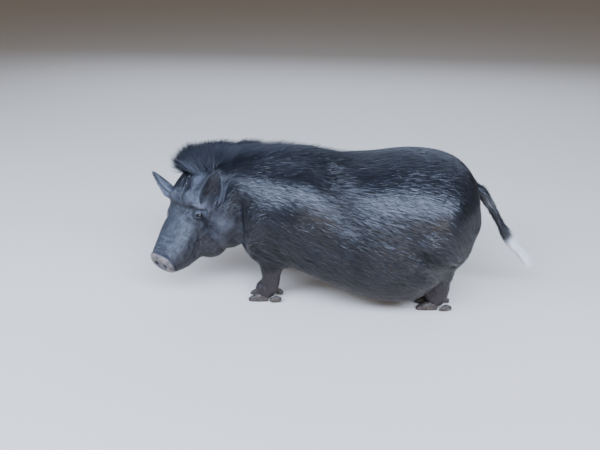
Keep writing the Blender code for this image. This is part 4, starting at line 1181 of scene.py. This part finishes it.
# %% The zones of the coat
EYE_CLEAR, SEAM = 0.0155, 0.02
ears_at = np.maximum(in_ear(CENTRES, "left")[1], in_ear(CENTRES, "right")[1])
side_at = CENTRES @ np.array(HEAD_SIDE)
X, Y, Z = CENTRES.T
AHEAD, ASIDE, ABOVE = ((CENTRES - np.array(POLL)) @ np.array(SKULL)).T
head_zone = (side_at > HEAD_CUT - SEAM) & (X < NECK_CUT) & (ears_at < 0.5)
beside_leg = np.minimum(np.abs(X - FORE_X), np.abs(X - HIND_X)) < 0.080
leg_zone = (Z < 0.135) & (np.abs(Y) > LEG_INSIDE) & beside_leg
tail_zone = (X > 0.345) & (np.abs(Y) < 0.03) | (X > 0.37)
body_zone = ~head_zone & ~leg_zone & ~tail_zone & (ears_at < 0.5)
neck_zone = body_zone & (X < NECK_CUT + 0.03)
trunk_zone = body_zone & ~neck_zone
eye_clear = np.ones(len(CENTRES))
for middle, _ in EYES.values():
    eye_clear *= 1 - (np.linalg.norm(CENTRES - np.array(middle), axis=1) < EYE_CLEAR)
print("faces of the trunk", trunk_zone.sum(), "neck", neck_zone.sum(), "head", head_zone.sum())

# %% The trunk's and the neck's coat
MID_X = 0.02
BODY_LENGTH, NECK_LENGTH, BODY_WIDTH, BODY_HEIGHT = 0.044, 0.034, 0.0022, 0.0020
coat = []
trunk_round = around((0, 0, 0.24), (1, 0, 0), (0, 0, -1))
for name, zone, count in (
    ("coat_left_front", trunk_zone & (Y < 0) & (X < MID_X), 18000),
    ("coat_left_back", trunk_zone & (Y < 0) & (X >= MID_X), 18500),
    ("coat_right_front", trunk_zone & (Y >= 0) & (X < MID_X), 18000),
    ("coat_right_back", trunk_zone & (Y >= 0) & (X >= MID_X), 18500),
):
    roots, normals = scattered(zone.astype(float), count)
    coat.append(laid_strands(name, roots, normals, BODY_LENGTH, BODY_WIDTH, BODY_HEIGHT, trunk_round))
roots, normals = scattered(neck_zone.astype(float), 11000)
neck_round = around((0, 0, 0.28), (1, 0, 0), (0, 0, -1))
coat.append(laid_strands("coat_neck", roots, normals, NECK_LENGTH, BODY_WIDTH, BODY_HEIGHT, neck_round))

# %% [markdown]
# ## The short coat of the head, ears and legs
#
# On the forehead the bristles are 2 cm long, and they shorten to 7 mm on the snout, where they also stand
# closer. The ears and the feet have short, fine hair. The disc of the snout and the ring round each eye
# stay bare. The clumps are smaller too, in proportion, or the face would look shaggy.

# %% Head, ears and legs
bare_disc = (CENTRES - np.array(DISC_MIDDLE)) @ np.array(DISC_FACE) < -0.008
face_round = around(on_head(0, 0, -0.10), FORWARD, -BROW)
roots, normals = scattered(head_zone * eye_clear * bare_disc * (1.0 + 0.6 * (AHEAD > 0.12)), 18000)
on_face = (roots - np.array(POLL)) @ np.array(SKULL)
face_length = 0.022 - 0.015 * step_up(on_face[:, 0], 0.02, 0.16)
face_width = 0.0016 + face_length * 0.03
made = laid_strands("coat_head", roots, normals, face_length, face_width, 0.0012, face_round, clump=0.007)
coat.append(made)
for side in ("left", "right"):
    root, way, facing, _ = EARS[side]
    ear_round = around(root + facing * 0.02, way, facing)
    roots, normals = scattered(in_ear(CENTRES, side)[1], 1500)
    made = laid_strands(f"coat_ear_{side}", roots, normals, 0.012, 0.0016, 0.0010, ear_round, clump=0.006)
    coat.append(made)
for fore, middle_x in (("fore", -0.262), ("hind", 0.240)):
    for hand, side in ((-1, "left"), (1, "right")):
        zone = leg_zone & (Y * hand > 0) & ((X < 0) == (fore == "fore")) & (Z > 0.014)
        step = 0 if hand < 0 else (FORE_STEP if fore == "fore" else HIND_STEP)
        roots, normals = scattered(zone.astype(float), 2200)
        leg_length = 0.010 + 0.012 * step_up(roots[:, 2], 0.05, 0.13)
        leg_round = around((middle_x + step, hand * 0.113, 0), (0, 0, 1), (1, 0, 0))
        name = f"coat_leg_{fore}_{side}"
        coat.append(laid_strands(name, roots, normals, leg_length, 0.0019, 0.0012, leg_round, clump=0.007))

# %% [markdown]
# ## The mane
#
# Along the nape and the shoulders the bristles are longest, up to 10 cm on the poll, where they stand
# straight up and even lean forward at the very front. Further back they lean over and get shorter. They
# make the outline of the neck fuzzy. A strand that stands needs more sections than one that lies, so these
# have four. They are turned about their own length so that their flat side faces the pig's side, as a mane
# that is parted along the spine does, and they are shaded as a soft upright crest, so that it reads as one
# form.

# %% Standing strands
SECTIONS, GLANCE, CREST_SLOPE = 4, 0.35, np.array((0.7, 0.3, 1.6))


def curved_strands(name, roots, normals, ways, back, length, width, unwrap, roll, sleek):
    """Strands that leave the skin along their way and bend towards back as they go."""
    count = len(roots)
    standing = np.maximum((ways * normals).sum(1), 0)[:, None]
    length = length * draw.uniform(0.72, 1.15, count)
    share = np.linspace(0, 1, SECTIONS)[None, :, None]
    across = unit(np.cross(normals, lie_of(roots, normals)))
    ways = unit(ways + draw.normal(0, 0.07, (count, 3)))
    reach = length[:, None, None]
    rings = roots[:, None] - normals[:, None] * 0.002
    rings = rings + ways[:, None] * reach * (share - 0.12 * share**2) + back[:, None] * reach * share**2
    across = unit(across - ways * (across * ways).sum(1)[:, None])
    face = np.cross(ways, across) * np.cos(roll)[:, None] + across * np.sin(roll)[:, None]
    slopes = unit(face * GLANCE + normals * (1 - 0.7 * standing) + CREST_SLOPE * standing)
    slopes = np.repeat(slopes[:, None], SECTIONS, axis=1)
    width = width * draw.uniform(0.75, 1.25, count)
    return joined_strands(name, rings, face, slopes, ways, width, unwrap(roots), draw.random(count), sleek)


# %% The mane along the spine
# Along the mane: x, the length of the strands and how steeply they rise in degrees
MANE = np.array(
    (
        (-0.562, 0.046, 128),
        (-0.550, 0.066, 110),
        (-0.536, 0.096, 96),
        (-0.500, 0.086, 84),
        (-0.460, 0.068, 66),
        (-0.410, 0.060, 48),
        (-0.360, 0.052, 39),
        (-0.330, 0.048, 33),
        (-0.200, 0.042, 22),
        (0.100, 0.032, 12),
    )
).T
MANE_HALF, MANE_END = 0.030, 0.100


def mane(name, wanted, count, width):
    """Strands of the mane where they are wanted, leaning outwards from the spine."""
    roots, normals = scattered(wanted, count)
    long = np.interp(roots[:, 0], MANE[0], MANE[1])
    rise = np.radians(np.interp(roots[:, 0], MANE[0], MANE[2])) + draw.normal(0, 0.09, len(roots))
    ways = lie_of(roots, normals) * np.cos(rise)[:, None] + normals * np.sin(rise)[:, None]
    ways = unit(ways + np.array((0, 1, 0)) * (roots[:, 1] * 2.0)[:, None])
    back = np.array((1.0, 0, -0.2)) * (0.06 + 0.10 * np.cos(rise))[:, None]
    roll = np.sin(rise) ** 2 * draw.normal(1.2, 0.25, len(roots)) * np.where(roots[:, 1] < 0, -1, 1)
    return curved_strands(name, roots, normals, ways, back, long, width, trunk_round, roll, SLEEK)


spine = np.exp(-((Y / MANE_HALF) ** 2)) * (Z > 0.33) * (X > -0.56) * (X < MANE_END) * body_zone
poll = 1.2 * np.exp(-(((ASIDE + 0.004) / 0.030) ** 2)) * (AHEAD < 0.002) * (ABOVE > -0.06) * head_zone
coat.append(mane("coat_mane", np.maximum(spine * (X < NECK_CUT), poll), 12000, 0.0016))
coat.append(mane("coat_spine", spine * (X >= NECK_CUT), 5200, 0.0018))

# %% [markdown]
# ## The tail's hair
#
# A pot-bellied pig's tail is straight and ends in a switch. Its shaft has short hair that lies down along
# it, and from half way the strands are longer and hang past the flesh, white at the end.

# %% Strands along the tail
TAIL_SLEEK, TAIL_WIDTH = 0.6, 0.0022
tail_rows = through(TAIL, 200)
tail_line = tail_rows[:, :3]
tail_flow = np.gradient(tail_line, axis=0)
tail_flow /= np.linalg.norm(tail_flow, axis=1)[:, None]


def tail_strands(name, first, last, count, length, lift):
    """Hair all round the tail, from the first to the last share of its length, standing off by the lift."""
    count = count
    share = np.sort(draw.uniform(first, last, count))
    pick = (share * (len(tail_rows) - 1)).astype(int)
    way = tail_flow[pick]
    side = np.cross(way, (0, 1.0, 0))
    side /= np.linalg.norm(side, axis=1)[:, None]
    angle = draw.uniform(0, 2 * np.pi, count)
    out = side * np.cos(angle)[:, None] + np.cross(way, side) * np.sin(angle)[:, None]
    roots = tail_line[pick] + out * tail_rows[pick, 3][:, None] * 0.75
    ways = way + out * lift
    ways /= np.linalg.norm(ways, axis=1)[:, None]

    def unwrap(_):
        return 0.004 + 0.992 * np.stack([(share - first) / (last - first), angle / (2 * np.pi)], 1)

    droop, roll = way * 0.12, np.zeros(count)
    return curved_strands(name, roots, out, ways, droop, length, TAIL_WIDTH, unwrap, roll, TAIL_SLEEK)


coat.append(tail_strands("coat_tail_shaft", 0.10, 0.70, 1800, 0.028, 0.20))
coat.append(tail_strands("coat_tail_switch", 0.50, 0.97, 2800, 0.050, 0.27))
print("coat", len(coat), "pieces", sum(len(piece.data.polygons) for piece in coat), "triangles")

# %% [markdown]
# ## Eyes
#
# A pig's eye is small and nearly all dark: a brown iris round a big pupil, under a bulging clear cornea.
# One ball carries all of it. The cornea is a low dome raised on the ball, and the colours come from the
# angle to the eye's own axis, stored on the mesh, so that the iris stays round from any side.

# %% Eyeballs
CORNEA_EDGE, CORNEA_HIGH = 36, 0.0011
eyes = []
for side, (middle, turn) in EYES.items():
    eye = ball(f"eyeball_{side}", middle, (EYE_RADIUS - 0.0001,) * 3, turn, 24)
    axis = turn @ Vector((0, 0, 1))
    angles = [math.degrees((vert.co - middle).angle(axis)) for vert in eye.data.vertices]
    for vert, angle in zip(eye.data.vertices, angles):
        dome = max(0.0, 1 - (angle / CORNEA_EDGE) ** 2)
        vert.co += (vert.co - middle).normalized() * CORNEA_HIGH * dome
    eye.data.attributes.new("angle", "FLOAT", "POINT").data.foreach_set("value", angles)
    eye.data.shade_smooth()
    eyes.append(eye)
print("eyeballs", len(eyes), "with a cornea", CORNEA_EDGE * 2, "degrees wide")

# %% [markdown]
# ## Claws and dewclaws
#
# A pig walks on two claws and carries two small ones behind. Each is a capsule of horn: a rounded wall that
# slopes to a blunt point, over a flat sole. The sections repeat the solid's, with more of them and more
# sides, and one loop makes all sixteen.

# %% Horn capsules
# Sections of a claw and of a dewclaw: distance ahead of the ankle, height and half width
CLAW = (
    (-0.012, 0.0200, 0.0080),
    (0.000, 0.0280, 0.0105),
    (0.018, 0.0270, 0.0115),
    (0.036, 0.0180, 0.0100),
    (0.050, 0.0085, 0.0060),
)
DEWCLAW = (
    (-0.010, 0.010, 0.0050),
    (0.004, 0.017, 0.0070),
    (0.016, 0.013, 0.0060),
    (0.026, 0.006, 0.0028),
)

# How far each stands out from the middle of the foot, and how many degrees it turns outwards
CLAW_SPREAD, CLAW_TURN = 0.0128, 6.0
DEWCLAW_SPREAD, DEWCLAW_TURN, DEWCLAW_BEHIND, DEWCLAW_LIFT = 0.020, 14.0, 0.044, 0.007

# Each foot's ankle, and which side of the pig is outward
FEET = (
    ("fore_left", -0.288, -0.118, -1),
    ("fore_right", -0.288 + FORE_STEP, 0.118, 1),
    ("hind_left", 0.232, -0.108, -1),
    ("hind_right", 0.232 + HIND_STEP, 0.108, 1),
)


def capsule_of(name, x, y, turn, rows, lift=0.0):
    """One claw of horn with a flat sole, turned about its own ankle."""
    spin = Matrix.Rotation(math.radians(turn), 3, "Z")
    ovals = []
    for ahead, top, half in through(rows, 16):
        middle = Vector((x, y, lift)) + spin @ Vector((-ahead, 0, top * 0.42))
        ovals.append(oval(middle, spin @ ACROSS, UP, half, top * 0.58, top * 0.58, 2.6))
    made = loft(name, ovals, 24)
    for vert in made.data.vertices:
        vert.co.z = max(vert.co.z, lift)
    made.data.shade_smooth()
    return made


capsules = {}
for foot, x, y, hand in FEET:
    for side, away in (("outer", hand), ("inner", -hand)):
        across, turn = y + away * CLAW_SPREAD, -away * CLAW_TURN
        capsules[f"claw_{foot}_{side}"] = capsule_of(f"horn_{foot}_{side}", x, across, turn, CLAW)
        across, turn, back = y + away * DEWCLAW_SPREAD, -away * DEWCLAW_TURN, x + DEWCLAW_BEHIND
        made = capsule_of(f"horn_dew_{foot}_{side}", back, across, turn, DEWCLAW, DEWCLAW_LIFT)
        capsules[f"dewclaw_{foot}_{side}"] = made
print("capsules", len(capsules))

# %% [markdown]
# ## Materials
#
# Everything is procedural: noise and attributes, no images. An image could be painted on, but noise keeps
# its detail from close by and follows the pig's real millimetres. Colours are given as the hex values that
# a colour picker shows, and one function turns them to the linear values that the renderer adds up.

# %% Colour and node helpers
def linear(code):
    """A hex colour as linear red, green, blue and alpha."""
    parts = [int(code[i : i + 2], 16) / 255 for i in (1, 3, 5)]
    return (*[p / 12.92 if p <= 0.04045 else ((p + 0.055) / 1.055) ** 2.4 for p in parts], 1.0)


def add(tree, kind, inputs=None, **settings):
    """A node with its settings, and its inputs given as values or as the sockets they are fed from."""
    made = tree.nodes.new(kind)
    for key, value in settings.items():
        setattr(made, key, value)
    for key, value in (inputs or {}).items():
        if isinstance(value, bpy.types.NodeSocket):
            tree.links.new(value, made.inputs[key])
        else:
            made.inputs[key].default_value = value
    return made


def material(name, **settings):
    """An empty material with its shader's own sockets set."""
    made = bpy.data.materials.new(name)
    made.use_nodes = True
    tree = made.node_tree
    shader = tree.nodes["Principled BSDF"]
    for key, value in settings.items():
        shader.inputs[key.replace("_", " ")].default_value = value
    return made, tree, shader


def mixed(tree, share, first, second):
    """A colour between two, by a share."""
    return add(tree, "ShaderNodeMix", {0: share, 6: first, 7: second}, data_type="RGBA").outputs[2]


def ramp(tree, value, low, high):
    """Nothing below low, one above high, and a straight rise between."""
    return add(tree, "ShaderNodeMapRange", {0: value, 1: low, 2: high, 3: 0.0, 4: 1.0}).outputs[0]


print("white is", [round(v, 2) for v in linear("#f0eeea")])

# %% [markdown]
# ## Bristle
#
# A bristle is keratin, smooth and slightly greasy, so it is dark in itself and bright only where it mirrors
# the sky. The base colour is therefore nearly black, the roughness low, and the silver of the shoulder and
# flank is left to the light. Strands differ a little in tone, alone and by clump, which keeps the coat from
# looking moulded, and at the waist they are darker, which is painted shade. The marks that every strand
# stores are laid over that, with their painted highlights on the face and painted light on the crest.

# %% Keratin bristle: black, with the shine of a thin coat of skin grease
BLACK, BLUE_BLACK, BROWN, WHITE, GREY = "#111114", "#24272f", "#2f2627", "#f0eeea", "#686b76"


def marked(tree, ground):
    """The ground colour with the brown, white and grey marks over it, painted light included."""
    marks = add(tree, "ShaderNodeAttribute", attribute_name="marks_and_painted_light")
    parts = add(tree, "ShaderNodeSeparateColor", {0: marks.outputs["Color"]})
    colour = ground
    for index, code in enumerate((BROWN, WHITE, GREY)):
        colour = mixed(tree, parts.outputs[index], colour, linear(code))
    return colour, marks.outputs["Alpha"]


coat_bristle, tree, shader = material("keratin bristle", Roughness=0.28, Specular_IOR_Level=0.5)
strand = add(tree, "ShaderNodeAttribute", attribute_name="strand")
parts = add(tree, "ShaderNodeSeparateColor", {0: strand.outputs["Color"]})
own, clump = parts.outputs[0], parts.outputs[1]
tone = add(tree, "ShaderNodeMath", {0: own, 1: clump}, operation="MULTIPLY").outputs[0]
ground = mixed(tree, tone, linear(BLACK), linear(BLUE_BLACK))
tree.links.new(marked(tree, ground)[0], shader.inputs["Base Color"])
print(coat_bristle.name, "from", BLACK, "to", BLUE_BLACK)

# %% [markdown]
# ## Hide
#
# Between the bristles, in the ears and on the disc the hide itself shows: leathery, greyish black and
# duller than the coat, with a fine net of wrinkles 3 to 4 mm apart. The net is a cell pattern with a finer
# noise over it, as a bump, because it is too shallow to model. The disc has no pigment in places, so it is
# a mottled greyish pink, a little soiled.

# %% Hide: leathery and finely wrinkled, so it is duller than the coat, and moist and pinkish on the disc
LEATHER, PINK_GREY, DISC_GREY = "#1a1a1e", "#877973", "#4b4647"
WRINKLE, MOTTLE, WRINKLE_DEEP = 1 / 0.0035, 1 / 0.03, 0.0012
hide, tree, shader = material("bristly hide", Roughness=0.5, Specular_IOR_Level=0.4)
place = add(tree, "ShaderNodeTexCoord").outputs["Object"]
mottle = add(tree, "ShaderNodeTexNoise", {"Vector": place, "Scale": MOTTLE, "Detail": 4.0}).outputs["Fac"]
ground = mixed(tree, ramp(tree, mottle, 0.35, 0.7), linear(LEATHER), linear(BLUE_BLACK))
colour, bare = marked(tree, ground)
soiled = mixed(tree, ramp(tree, mottle, 0.40, 0.62), linear(PINK_GREY), linear(DISC_GREY))
tree.links.new(mixed(tree, bare, colour, soiled), shader.inputs["Base Color"])
cells = add(tree, "ShaderNodeTexVoronoi", {"Vector": place, "Scale": WRINKLE}, feature="SMOOTH_F1")
fine = add(tree, "ShaderNodeTexNoise", {"Vector": place, "Scale": WRINKLE * 2, "Detail": 3.0}).outputs["Fac"]
height = add(tree, "ShaderNodeMath", {0: cells.outputs["Distance"], 1: fine}, operation="ADD").outputs[0]
bump = add(tree, "ShaderNodeBump", {"Strength": 0.5, "Distance": WRINKLE_DEEP, "Height": height})
tree.links.new(bump.outputs[0], shader.inputs["Normal"])
print(hide.name, "with wrinkles", round(1000 / WRINKLE, 1), "mm apart")

# %% [markdown]
# ## Wet eye
#
# What makes an eye look alive is its wetness: a sharp small reflection over a dark depth. A very smooth
# surface with a clear coat gives that. Under it the pupil is black, the iris a very dark brown and the
# little that shows of the white is brownish, as a pig's is.

# %% Wet cornea over a brown iris: glassy, so that it mirrors the lamps
PUPIL, IRIS, EYE_WHITE = "#040303", "#22150f", "#4a3c36"

# Degrees from the eye's axis to where the pupil and the iris end, and over which each border blurs
PUPIL_EDGE, IRIS_EDGE, BLUR = 17, 34, 3
SMOOTHNESS = {"Roughness": 0.06, "Coat_Weight": 1.0, "Coat_Roughness": 0.03}
wet_eye, tree, shader = material("wet cornea over brown iris", **SMOOTHNESS)
angle = add(tree, "ShaderNodeAttribute", attribute_name="angle").outputs["Fac"]
iris = mixed(tree, ramp(tree, angle, PUPIL_EDGE, PUPIL_EDGE + BLUR), linear(PUPIL), linear(IRIS))
whole = mixed(tree, ramp(tree, angle, IRIS_EDGE, IRIS_EDGE + BLUR), iris, linear(EYE_WHITE))
tree.links.new(whole, shader.inputs["Base Color"])
print(wet_eye.name, "iris", IRIS)

# %% [markdown]
# ## Horn
#
# Hoof horn grows down from the foot in rings, 2 or 3 mm each, and wears dull on the ground. Waves bent by
# noise give the rings as a shallow bump, and a fine noise dusts the dark horn with a paler brown. The rings
# are drawn 14 mm wide, much wider than real ones, which would be too fine to show.

# %% Dark hoof horn: worn, so it is dull, and dusty from the floor
HORN_DARK, HORN_DUST = "#2b2622", "#5c5046"
RING, DUST, RING_DEEP = 0.01382, 1 / 0.006, 0.0006

# At a scale of 1 the wave texture has one band in every 2 pi / 20 metres
RING_SETTINGS = {"Scale": 2 * math.pi / 20 / RING, "Distortion": 3.0, "Detail": 2.0}
horn, tree, shader = material("dark hoof horn", Roughness=0.55)
place = add(tree, "ShaderNodeTexCoord").outputs["Object"]
bands = add(tree, "ShaderNodeTexWave", {"Vector": place, **RING_SETTINGS})
dust = add(tree, "ShaderNodeTexNoise", {"Vector": place, "Scale": DUST, "Detail": 5.0}).outputs["Fac"]
base = mixed(tree, ramp(tree, dust, 0.4, 0.7), linear(HORN_DARK), linear(HORN_DUST))
tree.links.new(base, shader.inputs["Base Color"])
bump = add(tree, "ShaderNodeBump", {"Strength": 0.35, "Distance": RING_DEEP, "Height": bands.outputs["Fac"]})
tree.links.new(bump.outputs[0], shader.inputs["Normal"])
print(horn.name, "with rings", round(RING * 1000), "mm apart")

# %% [markdown]
# ## Dressing the pig
#
# Every piece now gets its material, is moved by the step found at the start, and is tied to the one body.
# The skin stands for all solids of flesh, and each eyeball and claw for its own, so those are hidden and
# stay behind as what the pig touches the world with. The skin stores the same marks and painted light as
# the bristles.

# %% Materials, places and what each piece stands for
FLESH = ("torso", "neck", "head", "snout", "ear_left", "ear_right", "tail")
LEGS = ("leg_fore_left", "leg_fore_right", "leg_hind_left", "leg_hind_right")
stored(skin.data, "marks_and_painted_light", marks_and_painted_light(CORNERS))
skin.data.shade_smooth()


def dressed(piece, finish, slot, *nodes):
    """Gives the piece its material and place and hides the solids it stands for. The slot is not used."""
    piece.data.materials.clear()
    piece.data.materials.append(finish)
    piece.data.transform(Matrix.Translation(STEP))
    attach(piece, "root")
    if nodes:
        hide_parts(*nodes)


dressed(skin, hide, "hide", *FLESH, *LEGS)
for piece in coat:
    dressed(piece, coat_bristle, "hide")
for eye, side in zip(eyes, EYES):
    dressed(eye, wet_eye, "eye", f"eye_{side}")
for name, capsule in capsules.items():
    dressed(capsule, horn, "horn", name)
print("dressed", 1 + len(coat) + len(eyes) + len(capsules), "pieces")

# %% [markdown]
# ## Floor, light and camera
#
# A museum floor: plain and pale. The camera stands where the photo was taken from: on the pig's left, six
# degrees towards the tail from a square side view, and looking down at 28 degrees. The floor is one flat
# square, so large that no edge of it comes near the pig.

# %% Camera and floor
CAMERA_TURN, CAMERA_RISE, CAMERA_AWAY = math.radians(6), math.radians(28), 1.5873
TARGET = Vector((-0.19, 0, 0.205)) + STEP
LENS, SENSOR = 30, 36
FLOOR_HALF, PLASTER = 14, "#d2c8ba"

camera = bpy.data.objects.new("camera", bpy.data.cameras.new("camera"))
bpy.context.scene.collection.objects.link(camera)
camera.data.lens, camera.data.sensor_width = LENS, SENSOR
level = math.cos(CAMERA_RISE)
from_target = Vector((math.sin(CAMERA_TURN) * level, -math.cos(CAMERA_TURN) * level, math.sin(CAMERA_RISE)))
camera.location = TARGET + from_target * CAMERA_AWAY
camera.rotation_euler = (-from_target).to_track_quat("-Z", "Y").to_euler()
bpy.context.scene.camera = camera

bm = bmesh.new()
bmesh.ops.create_grid(bm, x_segments=1, y_segments=1, size=FLOOR_HALF)
floor = object_of(bm, "floor")
floor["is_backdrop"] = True

# Plaster is matt, so it gives a soft pale ground without a mirror image of the pig
plaster, tree, shader = material("pale plaster floor", Roughness=0.9, Base_Color=linear(PLASTER))
floor.data.materials.append(plaster)
print("camera at", [round(v, 2) for v in camera.location])

# %% [markdown]
# ## Light
#
# A black, sleek coat shows hardly any colour of its own. What the eye sees is the sky's reflection, so the
# size and place of the lamps draw the pig. A long, narrow panel high on the camera's side makes the two
# sheens on the shoulder and the flank, with the waist dark between them. A wide one behind lights the back
# and the rump, a weaker one in front lights the forehead and the snout, and all three are as blue as open
# shade. A small warm lamp low on the camera's side fills the ham and the belly, and a faint pale world
# fills the rest.

# %% Four soft panels and a faint world
def lamp(name, size, power, place, colour):
    """A soft panel of light that faces the pig: its sides in metres, its watts, its place and its colour."""
    light = bpy.data.lights.new(name, "AREA")
    light.shape = "RECTANGLE"
    light.size, light.size_y = size
    light.energy, light.color = power, linear(colour)[:3]
    made = bpy.data.objects.new(name, light)
    bpy.context.scene.collection.objects.link(made)
    made.location = place
    made.rotation_euler = (TARGET - Vector(place)).to_track_quat("-Z", "Y").to_euler()


SHADE_BLUE, WARM_WHITE, WORLD_WHITE, WORLD_STRENGTH = "#c7dbff", "#fff4ea", "#fff6ee", 0.2
lamp("overhead", (6.4, 0.85), 420, (-0.10, -1.70, 2.3), SHADE_BLUE)
lamp("behind", (6.0, 2.0), 120, (0.0, 3.0, 2.2), SHADE_BLUE)
lamp("front", (2.4, 1.8), 48, (-3.2, -0.9, 1.6), SHADE_BLUE)
lamp("fill", (0.9, 0.9), 25, (1.2, -3.0, 0.8), WARM_WHITE)
world = bpy.data.worlds.new("studio")
bpy.context.scene.world = world
world.use_nodes = True
background = world.node_tree.nodes["Background"]
background.inputs["Color"].default_value = linear(WORLD_WHITE)
background.inputs["Strength"].default_value = WORLD_STRENGTH
print("lamps", len(bpy.data.lights))

# %% [markdown]
# ## The dressed pig's box
#
# The coat's longest hairs may stand up to a centimetre past the solids, but not more, or the pig would be
# another size than its record says. The box of the dressed pig is printed.

# %% The dressed pig's box, printed
low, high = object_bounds()
print("dressed box", [round(v, 3) for corner in (low, high) for v in corner])
